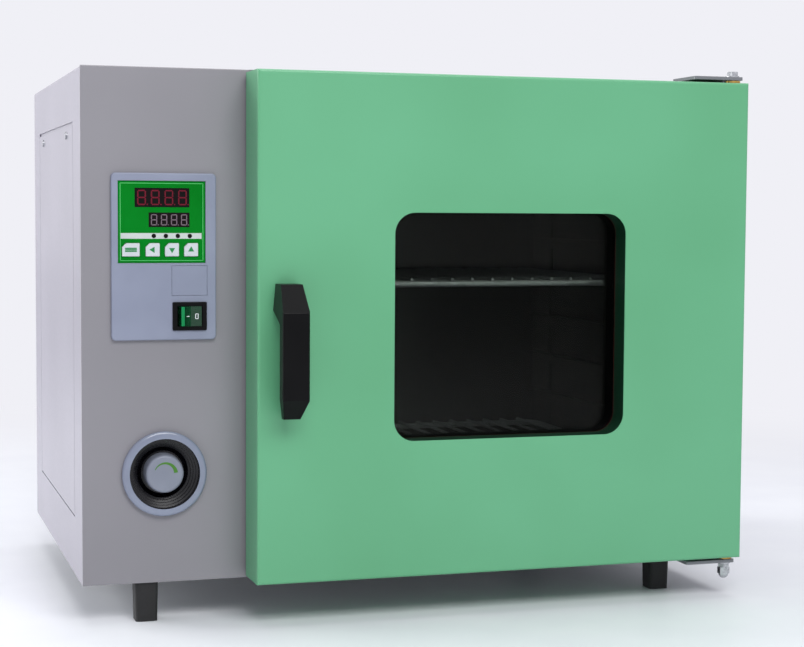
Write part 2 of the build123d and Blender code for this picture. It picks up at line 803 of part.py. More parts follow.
# Fan motor with end bells and four studs on the partition
with BuildPart() as fan_motor:
    motor_left = motor_right - motor_length
    with BuildSketch(Plane.XY.offset(door_z)) as motor_profile:
        with Locations(((motor_left + motor_right) / 2, chamber_y + motor_radius / 2)):
            Rectangle(motor_length, motor_radius)
        chamfer(vertices().group_by(Axis.Y)[-1], motor_radius / 5)
    revolve(axis=Axis((0, chamber_y, door_z), (1, 0, 0)))
    cross_disc(chamber_y, door_z, motor_radius / 4, motor_right, motor_right + motor_standoff / 2)
    with BuildSketch(facing_side(motor_right - motor_length / 2)):
        with Locations((chamber_y, door_z)):
            with PolarLocations(motor_stud_circle * 1.0, 4, start_angle=45):
                Circle(motor_stud_radius)
    extrude(amount=partition_left - motor_right + motor_length / 2)
    cross_disc(
        chamber_y, door_z, fan_shaft_radius + running_gap,
        motor_right - motor_length / 2, partition_left, Mode.SUBTRACT,
    )
finish(fan_motor, "fan_motor")

# Fan shaft
with BuildPart() as fan_shaft:
    shaft_end = fan_plane_x + fan_width / 2
    cross_disc(chamber_y, door_z, fan_shaft_radius, motor_right - motor_length / 2 + 1.0, shaft_end)
    chamfer(edges().group_by(Axis.X)[-1], fan_shaft_radius / 5)
finish(fan_shaft, "fan_shaft")

# Centrifugal impeller: back plate, hub, curved blades and a front ring
blade_middle = (fan_inner_radius + fan_radius) / 2
blade_tip = fan_radius - fan_blade_thickness
with BuildSketch(mode=Mode.PRIVATE) as fan_blade:
    with BuildLine():
        inner_arc = ThreePointArc((fan_inner_radius, 0), (blade_middle, fan_blade_bow), (blade_tip, fan_blade_lead))
        outer_arc = ThreePointArc(
            (fan_inner_radius, fan_blade_thickness),
            (blade_middle, fan_blade_bow + fan_blade_thickness),
            (blade_tip, fan_blade_lead + fan_blade_thickness),
        )
        Line(inner_arc @ 0, outer_arc @ 0)
        Line(inner_arc @ 1, outer_arc @ 1)
    make_face()
with BuildPart() as fan_impeller:
    cross_disc(chamber_y, door_z, fan_radius, fan_plane_x, fan_plane_x + fan_plate)
    cross_disc(chamber_y, door_z, fan_hub_radius, fan_plane_x, fan_plane_x + fan_hub_length)
    with BuildSketch(facing_side(fan_plane_x)):
        with Locations((chamber_y, door_z)):
            with PolarLocations(0, fan_blades):
                add(fan_blade.sketch)
    extrude(amount=fan_width - fan_plate)
    with BuildSketch(facing_side(fan_plane_x + fan_width - fan_plate)):
        with Locations((chamber_y, door_z)):
            Circle(fan_radius)
            Circle(fan_inner_radius, mode=Mode.SUBTRACT)
    extrude(amount=fan_plate)
    cross_disc(chamber_y, door_z, fan_shaft_radius, fan_plane_x, fan_plane_x + fan_width, Mode.SUBTRACT)
finish(fan_impeller, "fan_impeller")

# Vent duct: elbow from the chamber's left wall to the back, with a boss that carries the long shaft
with BuildPart() as vent_duct:
    duct_start = chamber_left - liner_steel
    duct_end = sheet_rear - port_web
    with BuildLine() as duct_path:
        FilletPolyline(
            (duct_start, duct_y, vent_center_z),
            (vent_center_x, duct_y, vent_center_z),
            (vent_center_x, duct_end, vent_center_z),
            radius=duct_bend,
        )
    with BuildSketch(Plane(origin=(duct_start, duct_y, vent_center_z), z_dir=(-1, 0, 0))):
        Circle(duct_radius + duct_wall)
    sweep()
    disc(vent_center_x, vent_center_z, vent_shaft_radius * 2, duct_y - duct_radius - duct_wall, duct_y)
    with BuildSketch(Plane(origin=(duct_start, duct_y, vent_center_z), z_dir=(-1, 0, 0))) as duct_bore:
        Circle(duct_radius)
    sweep(duct_bore.sketch, path=duct_path.wires()[0], mode=Mode.SUBTRACT)
    disc(vent_center_x, vent_center_z, vent_shaft_radius + running_gap, duct_y - 2 * duct_radius, duct_end, Mode.SUBTRACT)
finish(vent_duct, "vent_duct")

# Rear vent port: flange, spigot in the duct, web with two open sectors, and a boss that ends the long shaft
web_back = back + port_flange
web_front = web_back - port_web
port_bore = duct_radius - fit_gap - duct_wall


def sector_pair(radius, angle, turn, y_from, y_to, mode=Mode.ADD):
    """Add or cut two opposite sectors round the vent shaft; turn is where their middle line points."""
    half = math.radians(angle / 2)
    rim = (radius * math.cos(half), radius * math.sin(half))
    with BuildSketch(mode=Mode.PRIVATE) as sector:
        with BuildLine():
            Line((0, 0), (rim[0], -rim[1]))
            ThreePointArc((rim[0], -rim[1]), (radius, 0), rim)
            Line(rim, (0, 0))
        make_face()
    with BuildSketch(facing_front(y_from)) as sectors:
        with Locations((vent_center_x, vent_center_z)):
            with PolarLocations(0, 2, start_angle=turn):
                add(sector.sketch)
    extrude(sectors.sketch, amount=-(y_to - y_from), mode=mode)


with BuildPart() as vent_port:
    disc(vent_center_x, vent_center_z, port_flange_radius, back, web_back)
    disc(vent_center_x, vent_center_z, duct_radius - fit_gap, back - port_spigot, back)
    disc(vent_center_x, vent_center_z, port_bore, back - port_spigot, web_front, Mode.SUBTRACT)
    sector_pair(port_bore - duct_wall, sector_angle, 90, web_front, web_back, Mode.SUBTRACT)
    disc(vent_center_x, vent_center_z, port_hub, web_front, web_back + port_boss)
    disc(
        vent_center_x, vent_center_z, vent_shaft_radius + running_gap,
        web_front, web_back + port_boss - port_boss_end, Mode.SUBTRACT,
    )
finish(vent_port, "vent_port")

# Rotary shutter that closes the port's sectors, and its long shaft
with BuildPart() as damper_shutter:
    shutter_back = web_front - shutter_gap
    shutter_front = shutter_back - shutter_thickness
    sector_pair(port_bore - fit_gap, sector_angle + shutter_overlap, 90, shutter_front, shutter_back)
    disc(vent_center_x, vent_center_z, port_hub, shutter_front - port_boss, shutter_back)
    disc(vent_center_x, vent_center_z, vent_shaft_radius, shutter_front - port_boss, shutter_back, Mode.SUBTRACT)
finish(damper_shutter, "damper_shutter")

with BuildPart() as damper_shaft:
    disc(vent_center_x, vent_center_z, vent_shaft_radius, front, web_back + port_boss - port_boss_end - fit_gap)
finish(damper_shaft, "damper_shaft")

# Vent ring: bezel with a conical cup behind it, turned about the shaft
vent_axis = Axis((vent_center_x, 0, vent_center_z), (0, 1, 0))
vent_section = Plane(origin=(vent_center_x, 0, vent_center_z), x_dir=(1, 0, 0), z_dir=(0, 0, 1))
cup_floor = front + cup_depth
with BuildPart() as vent_ring:
    with BuildSketch(vent_section) as ring_profile:
        with BuildLine():
            Polyline(
                (ring_radius, front),
                (ring_radius, front - ring_proud),
                (ring_bore, front - ring_proud),
                (cup_floor_radius, cup_floor),
                (vent_shaft_radius + running_gap, cup_floor),
                (vent_shaft_radius + running_gap, cup_floor + cup_wall),
                (cup_floor_radius + cup_wall, cup_floor + cup_wall),
                (ring_bore + cup_wall, front),
                close=True,
            )
        make_face()
        fillet(vertices().group_by(Axis.Y)[0], ring_proud / 3)
    revolve(axis=vent_axis)
finish(vent_ring, "vent_ring")

# Vent knob on the shaft's front end
with BuildPart() as vent_knob:
    with BuildSketch(vent_section) as knob_profile:
        with BuildLine():
            Polyline(
                (0, front - knob_front),
                (knob_radius, front - knob_front),
                (knob_radius + knob_draft, cup_floor - knob_floor_gap),
                (0, cup_floor - knob_floor_gap),
                close=True,
            )
        make_face()
        fillet(vertices().group_by(Axis.Y)[0].sort_by(Axis.X)[-1], knob_edge)
    revolve(axis=vent_axis)
    disc(vent_center_x, vent_center_z, vent_shaft_radius, front, cup_floor, Mode.SUBTRACT)
finish(vent_knob, "vent_knob")

# Control bezel with the recesses for the controller face, the blank and the switch
with BuildPart() as control_bezel:
    plate(panel_x, panel_z, bezel_width, bezel_height, bezel_corner, bezel_front, front)
    fillet(edges().group_by(Axis.Y)[0], bezel_edge)
    plate(
        case_x, case_z, overlay_width + 2 * fit_gap, overlay_height + 2 * fit_gap, 0,
        bezel_front, overlay_back, Mode.SUBTRACT,
    )
    plate(case_x, case_z, case_width + 2 * fit_gap, case_height + 2 * fit_gap, 0, bezel_front, front, Mode.SUBTRACT)
    plate(
        blank_center_x, blank_center_z, blank_width, blank_height, 0,
        bezel_front, bezel_front + blank_thickness, Mode.SUBTRACT,
    )
    plate(
        switch_center_x, switch_center_z, switch_body_width + 2 * fit_gap, switch_body_height + 2 * fit_gap, 0,
        bezel_front, front, Mode.SUBTRACT,
    )
finish(control_bezel, "control_bezel")

with BuildPart() as blanking_plate:
    plate(
        blank_center_x, blank_center_z, blank_width - 2 * fit_gap, blank_height - 2 * fit_gap, 0,
        bezel_front, bezel_front + blank_thickness,
    )
finish(blanking_plate, "blanking_plate")

# Controller: case, green face with its windows, displays, lamps and keys
key_places = [(left + menu_key_x, menu_key_width)]
key_places += [(left + arrow_key_x + k * arrow_key_pitch, arrow_key_width) for k in range(3)]
key_names = ["key_menu", "key_left", "key_down", "key_up"]
lamp_places = [(left + lamp_first_x + k * lamp_pitch, bottom + lamp_z) for k in range(lamp_count)]
display_places = [
    (left + display_x, bottom + display_z, display_width, display_height),
    (left + small_display_x, bottom + small_display_z, small_display_width, small_display_height),
]
key_pocket_floor = overlay_back + key_pocket_depth
key_skirt_front = overlay_back + fit_gap
key_skirt_back = key_skirt_front + key_skirt_thickness


def key_shape(x, width, grow, y_from, y_to, mode=Mode.ADD):
    """Add or cut a key's outline, with its upper left corner cut off, grown all round by grow."""
    x_low, x_high = x - width / 2 - grow, x + width / 2 + grow
    z_low, z_high = keys_z - key_height / 2 - grow, keys_z + key_height / 2 + grow
    with BuildSketch(facing_front(y_from)) as outline:
        with BuildLine():
            Polyline(
                (x_low, z_low), (x_high, z_low), (x_high, z_high), (x_low + key_cut, z_high), (x_low, z_high - key_cut),
                close=True,
            )
        make_face()
        fillet(vertices(), key_edge)
    extrude(outline.sketch, amount=-(y_to - y_from), mode=mode)


with BuildPart() as controller_case:
    plate(case_x, case_z, case_width, case_height, 0, overlay_back, overlay_back + case_depth)
    fillet(edges().group_by(Axis.Y)[-1], key_edge)
    for x, z, width, height in display_places:
        plate(x, z, width, height, 0, overlay_back, overlay_front + display_setback + display_thickness, Mode.SUBTRACT)
    for x, z in lamp_places:
        disc(x, z, lamp_radius, overlay_back, overlay_back + lamp_depth, Mode.SUBTRACT)
    for x, width in key_places:
        key_shape(x, width, key_skirt + fit_gap, overlay_back, key_pocket_floor, Mode.SUBTRACT)
finish(controller_case, "controller_case")

with BuildPart() as controller_overlay:
    plate(case_x, case_z, overlay_width, overlay_height, 0, overlay_front, overlay_back)
    for x, z, width, height in display_places:
        plate(x, z, width, height, 0, overlay_front, overlay_back, Mode.SUBTRACT)
    for x, z in lamp_places:
        disc(x, z, lamp_radius, overlay_front, overlay_back, Mode.SUBTRACT)
    for x, width in key_places:
        key_shape(x, width, fit_gap, overlay_front, overlay_back, Mode.SUBTRACT)
finish(controller_overlay, "controller_overlay")

for label, (x, z, width, height) in zip(("display_upper", "display_lower"), display_places):
    with BuildPart() as display:
        display_front = overlay_front + display_setback
        plate(x, z, width - fit_gap, height - fit_gap, 0, display_front, display_front + display_thickness)
    finish(display, label)

with BuildPart() as indicator_lamps:
    for x, z in lamp_places:
        disc(x, z, lamp_radius - running_gap, overlay_front - lamp_proud, overlay_back + lamp_depth)
    fillet(edges().group_by(Axis.Y)[0], lamp_proud / 2)
finish(indicator_lamps, "indicator_lamps")

for label, (x, width) in zip(key_names, key_places):
    with BuildPart() as key:
        key_shape(x, width, 0, overlay_front - key_proud, key_skirt_front)
        fillet(edges().group_by(Axis.Y)[0], key_proud / 3)
        key_shape(x, width, key_skirt, key_skirt_front, key_skirt_back)
        disc(x, keys_z, key_stem_radius, key_skirt_back, key_pocket_floor - key_travel - fit_gap)
    finish(key, label)

# Rocker switch: snap-in frame with a well, and a rocker tilted towards its right end on two pins
rocker_pivot_y = bezel_front - switch_flange - rocker_proud + rocker_depth
rocker_crest = rocker_depth + rocker_width / 2 * math.tan(math.radians(rocker_tilt))
well_width = 2 * (math.hypot(rocker_width / 2, rocker_crest) + fit_gap)
well_floor = rocker_pivot_y + math.hypot(rocker_width / 2, rocker_back) + fit_gap
with BuildPart() as switch_frame:
    plate(
        switch_center_x, switch_center_z, switch_width, switch_height, switch_corner,
        bezel_front - switch_flange, bezel_front,
    )
    fillet(edges().group_by(Axis.Y)[0], switch_corner / 2)
    plate(
        switch_center_x, switch_center_z, switch_body_width, switch_body_height, 0,
        bezel_front, bezel_front + switch_body_depth,
    )
    plate(
        switch_center_x, switch_center_z, well_width, rocker_height + 2 * fit_gap, 0,
        bezel_front - switch_flange, well_floor, Mode.SUBTRACT,
    )
    upright_disc(
        switch_center_x, rocker_pivot_y, rocker_pin_radius + running_gap,
        switch_center_z - rocker_height / 2 - rocker_pin_length - fit_gap,
        switch_center_z + rocker_height / 2 + rocker_pin_length + fit_gap, Mode.SUBTRACT,
    )
finish(switch_frame, "switch_frame")

with BuildPart() as switch_rocker:
    tilt = math.radians(rocker_tilt)
    rocker_plane = Plane(
        origin=(switch_center_x, rocker_pivot_y, switch_center_z + rocker_height / 2),
        x_dir=(math.cos(tilt), math.sin(tilt), 0),
        z_dir=(0, 0, -1),
    )
    with BuildSketch(rocker_plane):
        with BuildLine():
            Polyline(
                (-rocker_width / 2, -rocker_back),
                (rocker_width / 2, -rocker_back),
                (rocker_width / 2, rocker_crest),
                (0, rocker_depth),
                (-rocker_width / 2, rocker_crest),
                close=True,
            )
        make_face()
    extrude(amount=rocker_height)
    upright_disc(
        switch_center_x, rocker_pivot_y, rocker_pin_radius,
        switch_center_z - rocker_height / 2 - rocker_pin_length,
        switch_center_z + rocker_height / 2 + rocker_pin_length,
    )
finish(switch_rocker, "switch_rocker")

# Door skin: folded pan with a window opening and a reveal turned inwards round it
with BuildPart() as door_skin:
    plate(door_x, door_z, door_width, door_height, 0, door_front, door_back)
    fillet(edges().group_by(Axis.Y)[0], door_bend)
    plate(
        door_x, door_z, door_width - 2 * door_steel, door_height - 2 * door_steel, 0,
        door_front + door_steel, door_back, Mode.SUBTRACT,
    )
    frame_ring(
        door_x, door_z, window_width, window_height, window_corner, door_steel,
        door_front, door_front + reveal_depth,
    )
    plate(
        door_x, door_z, window_width, window_height, window_corner,
        door_front, door_front + reveal_depth, Mode.SUBTRACT,
    )
    disc(handle_x, handle_z, latch_bush_radius + fit_gap, door_front, door_front + door_steel, Mode.SUBTRACT)
    for z_from in (door_top - door_steel, door_bottom):
        upright_disc(pivot_x, pivot_y, bush_radius + fit_gap, z_from, z_from + door_steel, Mode.SUBTRACT)
finish(door_skin, "door_skin")

# Door liner: shallow pan in the door's back that carries the inner pane
with BuildPart() as door_liner:
    pan_width = door_width - 2 * (door_steel + fit_gap)
    pan_height = door_height - 2 * (door_steel + fit_gap)
    pan_front = door_back - door_pan_lip
    plate(door_x, door_z, pan_width, pan_height, 0, pan_front, door_back)
    plate(
        door_x, door_z, pan_width - 2 * liner_steel, pan_height - 2 * liner_steel, 0,
        pan_front, door_back - liner_steel, Mode.SUBTRACT,
    )
    plate(
        door_x, door_z, window_width, window_height, window_corner,
        door_back - liner_steel, door_back, Mode.SUBTRACT,
    )
    disc(handle_x, handle_z, latch_bush_radius + fit_gap, door_back - liner_steel, door_back, Mode.SUBTRACT)
finish(door_liner, "door_liner")

# Panes, spacer and seal of the window
outer_glass_front = door_front + reveal_depth + seal_thickness
outer_glass_back = outer_glass_front + glass_thickness
inner_glass_back = door_back - liner_steel
inner_glass_front = inner_glass_back - glass_thickness
pane_width = window_width + 2 * glass_overlap
pane_height = window_height + 2 * glass_overlap
with BuildPart() as outer_glass:
    plate(door_x, door_z, pane_width, pane_height, window_corner, outer_glass_front, outer_glass_back)
finish(outer_glass, "outer_glass")

with BuildPart() as inner_glass:
    plate(door_x, door_z, pane_width, pane_height, window_corner, inner_glass_front, inner_glass_back)
finish(inner_glass, "inner_glass")

with BuildPart() as window_seal:
    frame_ring(
        door_x, door_z, window_width, window_height, window_corner, seal_width,
        door_front + reveal_depth, outer_glass_front,
    )
finish(window_seal, "window_seal")

with BuildPart() as glass_spacer:
    frame_ring(
        door_x, door_z, window_width, window_height, window_corner, seal_width,
        outer_glass_back, inner_glass_front,
    )
finish(glass_spacer, "glass_spacer")

# Mineral wool in the door
with BuildPart() as door_insulation:
    pad_inset = door_steel + liner_steel + 2 * fit_gap
    pad_front = door_front + door_steel + fit_gap
    pad_back = door_back - liner_steel - fit_gap
    plate(door_x, door_z, door_width - 2 * pad_inset, door_height - 2 * pad_inset, 0, pad_front, pad_back)
    plate(
        door_x, door_z, pane_width + 2 * fit_gap, pane_height + 2 * fit_gap, 0, pad_front, pad_back, Mode.SUBTRACT,
    )
    disc(handle_x, handle_z, latch_bush_radius + fit_gap, pad_front, pad_back, Mode.SUBTRACT)
    for z_from in (door_top - pad_inset - bush_length, door_bottom + pad_inset):
        upright_disc(pivot_x, pivot_y, bush_radius + fit_gap, z_from, z_from + bush_length, Mode.SUBTRACT)
finish(door_insulation, "door_insulation")

# Brass bushes in the door's top and bottom, one above the other on the hinge axis
with BuildPart() as hinge_bushes:
    for z_face, way in ((door_top, 1), (door_bottom, -1)):
        shank = sorted((z_face, z_face - way * bush_length))
        flange = sorted((z_face, z_face + way * bush_flange))
        upright_disc(pivot_x, pivot_y, bush_radius, *shank)
        upright_disc(pivot_x, pivot_y, bush_flange_radius, *flange)
    upright_disc(
        pivot_x, pivot_y, pin_radius + running_gap,
        door_bottom - bush_flange, door_top + bush_flange, Mode.SUBTRACT,
    )
finish(hinge_bushes, "hinge_bushes")

with BuildPart() as latch_bush:
    disc(handle_x, handle_z, latch_bush_radius, door_front, door_back)
    disc(handle_x, handle_z, latch_radius + running_gap, door_front, door_back, Mode.SUBTRACT)
finish(latch_bush, "latch_bush")


def countersunk_screw(x, z, y_face):
    """Add a countersunk screw along Y whose flat head ends at y_face."""
    with BuildSketch(facing_front(y_face)) as head:
        with Locations((x, z)):
            Circle(screw_radius)
    with BuildSketch(facing_front(y_face + screw_head)) as neck:
        with Locations((x, z)):
            Circle(screw_shank)
    loft(Sketch() + [head.sketch, neck.sketch])
    disc(x, z, screw_shank, y_face + screw_head, y_face + screw_head + screw_length)


def countersunk_hole(x, z, y_face, thickness):
    """Cut the seat of a countersunk screw through a plate of this thickness."""
    with BuildSketch(facing_front(y_face)) as seat:
        with Locations((x, z)):
            Circle(screw_radius + running_gap)
    with BuildSketch(facing_front(y_face + screw_head)) as neck:
        with Locations((x, z)):
            Circle(screw_shank + running_gap)
    loft(Sketch() + [seat.sketch, neck.sketch], mode=Mode.SUBTRACT)
    disc(x, z, screw_shank + running_gap, y_face, y_face + thickness, Mode.SUBTRACT)


# Hinge brackets: angles on the front frame that reach over and under the door
for label, z_edge, way in (("hinge_bracket_upper", top, 1), ("hinge_bracket_lower", bottom, -1)):
    with BuildPart() as hinge_bracket:
        with BuildSketch(facing_side(bracket_x - bracket_width / 2)):
            with BuildLine():
                Polyline(
                    (pivot_y - bracket_nose, z_edge),
                    (bracket_face, z_edge),
                    (bracket_face, z_edge - way * bracket_leg),
                    (front, z_edge - way * bracket_leg),
                    (front, z_edge + way * bracket_steel),
                    (pivot_y - bracket_nose, z_edge + way * bracket_steel),
                    close=True,
                )
            make_face()
        extrude(amount=bracket_width)
        fillet(edges().filter_by(Axis.Z).group_by(Axis.Y)[0], bracket_steel)
        hole_z = sorted((z_edge, z_edge + way * bracket_steel))
        upright_disc(pivot_x, pivot_y, pin_radius + running_gap, *hole_z, Mode.SUBTRACT)
        for x in bracket_screw_xs:
            countersunk_hole(x, z_edge - way * bracket_leg / 2, bracket_face, bracket_steel)
    finish(hinge_bracket, label)

with BuildPart() as hinge_pin_upper:
    washer_low = top + bracket_steel
    head_low = washer_low + washer_thickness
    upright_disc(pivot_x, pivot_y, pin_radius, door_top - bush_length, head_low)
    upright_disc(pivot_x, pivot_y, washer_radius, washer_low, head_low)
    with BuildSketch(facing_up(head_low)):
        with Locations((pivot_x, pivot_y)):
            RegularPolygon(nut_flats / 2, 6, major_radius=False)
    extrude(amount=nut_height)
finish(hinge_pin_upper, "hinge_pin_upper")

with BuildPart() as hinge_pin_lower:
    washer_high = bottom - bracket_steel
    nut_high = washer_high - washer_thickness
    cap_high = nut_high - nut_height
    dome_radius = nut_flats / 2 - fit_gap
    upright_disc(pivot_x, pivot_y, pin_radius, cap_high, door_bottom + bush_length)
    upright_disc(pivot_x, pivot_y, washer_radius, nut_high, washer_high)
    with BuildSketch(facing_up(nut_high)):
        with Locations((pivot_x, pivot_y)):
            RegularPolygon(nut_flats / 2, 6, major_radius=False)
    extrude(amount=-nut_height)
    with BuildSketch(facing_up(cap_high)):
        with Locations((pivot_x, pivot_y)):
            RegularPolygon(nut_flats / 2, 6, major_radius=False, rotation=30)
    extrude(amount=-(cap_nut_length - dome_radius))
    dome_z = cap_high - cap_nut_length + dome_radius
    with Locations((pivot_x, pivot_y, dome_z)):
        Sphere(dome_radius)
finish(hinge_pin_lower, "hinge_pin_lower")

# Handle: angular lever, its side outline crossed with its front outline
hub_top = handle_z + handle_hub_height / 2
hub_face = door_front - handle_hub_gap
with BuildPart() as door_handle:
    with BuildSketch(facing_side(handle_x)):
        with BuildLine():
            Polyline(
                (hub_face, hub_top),
                (door_front - handle_hub_reach, hub_top),
                (door_front - handle_reach, hub_top - handle_ridge_drop),
                (door_front - handle_reach, hub_top - handle_length + handle_tip_length),
                (door_front - handle_tip_front, hub_top - handle_length),
                (door_front - handle_tip_back, hub_top - handle_length),
                (door_front - handle_reach + handle_grip, hub_top - handle_length + handle_tip_length),
                (door_front - handle_reach + handle_grip, hub_top - handle_under_drop),
                (hub_face, hub_top - handle_hub_height),
                close=True,
            )
        make_face()
    extrude(amount=handle_width / 2, both=True)
    with BuildSketch(facing_front(door_front - handle_reach)):
        with BuildLine():
            Polyline(
                (handle_x - handle_neck_width / 2, hub_top),
                (handle_x + handle_neck_width / 2, hub_top),
                (handle_x + handle_width / 2, hub_top - handle_ridge_drop),
                (handle_x + handle_width / 2, hub_top - handle_length + handle_tip_length),
                (handle_x + handle_tip_width / 2, hub_top - handle_length),
                (handle_x - handle_tip_width / 2, hub_top - handle_length),
                (handle_x - handle_width / 2, hub_top - handle_length + handle_tip_length),
                (handle_x - handle_width / 2, hub_top - handle_ridge_drop),
                close=True,
            )
        make_face()
    extrude(amount=-handle_reach, mode=Mode.INTERSECT)
    fillet(edges().group_by(Axis.Y)[0], handle_edge)
    disc(handle_x, handle_z, latch_radius, door_front - latch_grip, hub_face, Mode.SUBTRACT)
finish(door_handle, "door_handle")

# Latch shaft with a cross tongue that stands upright in the striker's slot and locks when turned
with BuildPart() as latch_shaft:
    disc(handle_x, handle_z, latch_radius, door_front - latch_grip, tongue_front)
    plate(
        handle_x, handle_z, tongue_width, tongue_length, tongue_corner,
        tongue_front, tongue_front + tongue_thickness,
    )
finish(latch_shaft, "latch_shaft")

with BuildPart() as striker_plate:
    plate(handle_x, handle_z, striker_width, striker_height, tongue_corner, front - striker_steel, front)
    plate(
        handle_x, handle_z, tongue_width + 2 * striker_slot_gap, tongue_length + striker_slot_gap, tongue_corner,
        front - striker_steel, front, Mode.SUBTRACT,
    )
    for x, z in striker_screws:
        countersunk_hole(x, z, front - striker_steel, striker_steel)
finish(striker_plate, "striker_plate")

with BuildPart() as latch_pocket:
    plate(
        handle_x, handle_z, pocket_width + 2 * liner_steel, pocket_height + 2 * liner_steel, 0,
        sheet_back, pocket_back + liner_steel,
    )
    plate(handle_x, handle_z, pocket_width, pocket_height, 0, sheet_back, pocket_back, Mode.SUBTRACT)
finish(latch_pocket, "latch_pocket")

# Silicone gasket round the chamber mouth
with BuildPart() as door_gasket:
    frame_ring(
        door_x, door_z, chamber_width + 2 * gasket_offset, chamber_height + 2 * gasket_offset,
        chamber_corner + gasket_offset, gasket_width, door_back + fit_gap, front,
    )
    fillet(edges().group_by(Axis.Y)[0], gasket_width / 4)
finish(door_gasket, "door_gasket")

# Cable gland in the rear panel; no cord is fitted
with BuildPart() as cable_gland:
    disc(gland_x, gland_center_z, gland_flats / 3, sheet_rear - gland_hex, back)
    for y_from in (back, sheet_rear - gland_hex):
        with BuildSketch(facing_front(y_from)) as hexagon:
            with Locations((gland_x, gland_center_z)):
                RegularPolygon(gland_flats / 2, 6, major_radius=False)
        extrude(hexagon.sketch, amount=-gland_hex)
    with BuildSketch(facing_front(back + gland_hex)) as dome_foot:
        with Locations((gland_x, gland_center_z)):
            Circle(gland_dome_foot)
    with BuildSketch(facing_front(back + gland_reach)) as dome_tip:
        with Locations((gland_x, gland_center_z)):
            Circle(gland_dome_tip)
    loft(Sketch() + [dome_foot.sketch, dome_tip.sketch])
    disc(gland_x, gland_center_z, gland_bore, sheet_rear - gland_hex, back + gland_reach, Mode.SUBTRACT)
finish(cable_gland, "cable_gland")

# Solid-state relay on a finned heat sink, on the base tray
with BuildPart() as solid_state_relay:
    relay_left = left + relay_x - relay_width / 2
    relay_front = front + relay_y
    relay_low = bottom + casing_steel
    sink_floor = relay_low + relay_base
    block(relay_left, relay_left + relay_width, relay_front, relay_front + relay_length * 2, relay_low, sink_floor)
    with BuildSketch(facing_up(sink_floor)):
        with Locations((relay_left + relay_width / 2, relay_front + relay_length / 2)):
            with GridLocations((relay_width - relay_fin) / (relay_fins - 1), 1, relay_fins, 1):
                Rectangle(relay_fin, relay_length)
    extrude(amount=relay_fin_height)
    block(
        relay_left, relay_left + relay_width, relay_front + relay_length + relay_fin,
        relay_front + relay_length * 2, sink_floor, sink_floor + relay_height,
    )
finish(solid_state_relay, "solid_state_relay")

# Screws of the access cover, rear panel, hinge brackets and striker
with BuildPart() as casing_screws:
    for screw_y in cover_screw_ys:
        cross_disc(screw_y, cover_screw_z, screw_radius, left - screw_head, left)
        cross_disc(screw_y, cover_screw_z, screw_shank, left, left + screw_length)
    for x, z in rear_screws:
        disc(x, z, screw_radius, back, back + screw_head)
        disc(x, z, screw_shank, back - rear_screw_length, back)
    for x, z in bracket_screws:
        countersunk_screw(x, z, bracket_face)
    for x, z in striker_screws:
        countersunk_screw(x, z, front - striker_steel)
finish(casing_screws, "casing_screws")
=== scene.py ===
from math import cos, pi, radians, sin
import bpy
from mathutils import Matrix, Vector


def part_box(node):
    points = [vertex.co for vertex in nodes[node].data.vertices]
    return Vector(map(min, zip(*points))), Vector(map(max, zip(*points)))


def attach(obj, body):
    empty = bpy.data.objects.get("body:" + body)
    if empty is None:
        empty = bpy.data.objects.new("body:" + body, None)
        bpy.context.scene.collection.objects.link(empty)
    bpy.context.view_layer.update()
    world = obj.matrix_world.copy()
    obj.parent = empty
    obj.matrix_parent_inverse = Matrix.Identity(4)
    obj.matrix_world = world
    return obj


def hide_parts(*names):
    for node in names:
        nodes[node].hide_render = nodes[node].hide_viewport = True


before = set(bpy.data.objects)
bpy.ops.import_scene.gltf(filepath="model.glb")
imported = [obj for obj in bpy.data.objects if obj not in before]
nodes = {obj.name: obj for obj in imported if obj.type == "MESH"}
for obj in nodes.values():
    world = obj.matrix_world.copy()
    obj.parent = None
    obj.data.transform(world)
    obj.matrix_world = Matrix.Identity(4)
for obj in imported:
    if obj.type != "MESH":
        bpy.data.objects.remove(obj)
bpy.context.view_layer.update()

mm = 0.001


def place(name):
    """Low corner, high corner and middle of a CAD node."""
    low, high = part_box(name)
    return low, high, (low + high) / 2


# Colour and node helpers


def linear(code):
    """Linear RGBA of an sRGB hex colour."""
    parts = [int(code[i:i + 2], 16) / 255 for i in (0, 2, 4)]
    return [c / 12.92 if c <= 0.04045 else ((c + 0.055) / 1.055) ** 2.4 for c in parts] + [1.0]


def add_node(material, kind, settings=(), values=(), links=()):
    """Add one shader node; settings are its own options, values its sockets' numbers, links its inputs."""
    node = material.node_tree.nodes.new(kind)
    for key, value in dict(settings).items():
        setattr(node, key, value)
    for socket, value in dict(values).items():
        node.inputs[socket].default_value = value
    for socket, source in dict(links).items():
        material.node_tree.links.new(source, node.inputs[socket])
    return node


def new_material(name):
    """Empty node material with its output and object coordinates."""
    material = bpy.data.materials.new(name)
    material.use_nodes = True
    material.node_tree.nodes.clear()
    output = add_node(material, "ShaderNodeOutputMaterial")
    coords = add_node(material, "ShaderNodeTexCoord").outputs["Object"]
    return material, output, coords


def two_tone(material, factor, dark, light, low=0.35, high=0.65):
    """Colour output that runs from dark to light as the factor runs from low to high."""
    ramp = add_node(material, "ShaderNodeValToRGB", links={"Fac": factor})
    ramp.color_ramp.elements[0].position = low
    ramp.color_ramp.elements[1].position = high
    ramp.color_ramp.elements[0].color = linear(dark)
    ramp.color_ramp.elements[1].color = linear(light)
    return ramp.outputs["Color"]


# Finishes, each named for what the real surface is


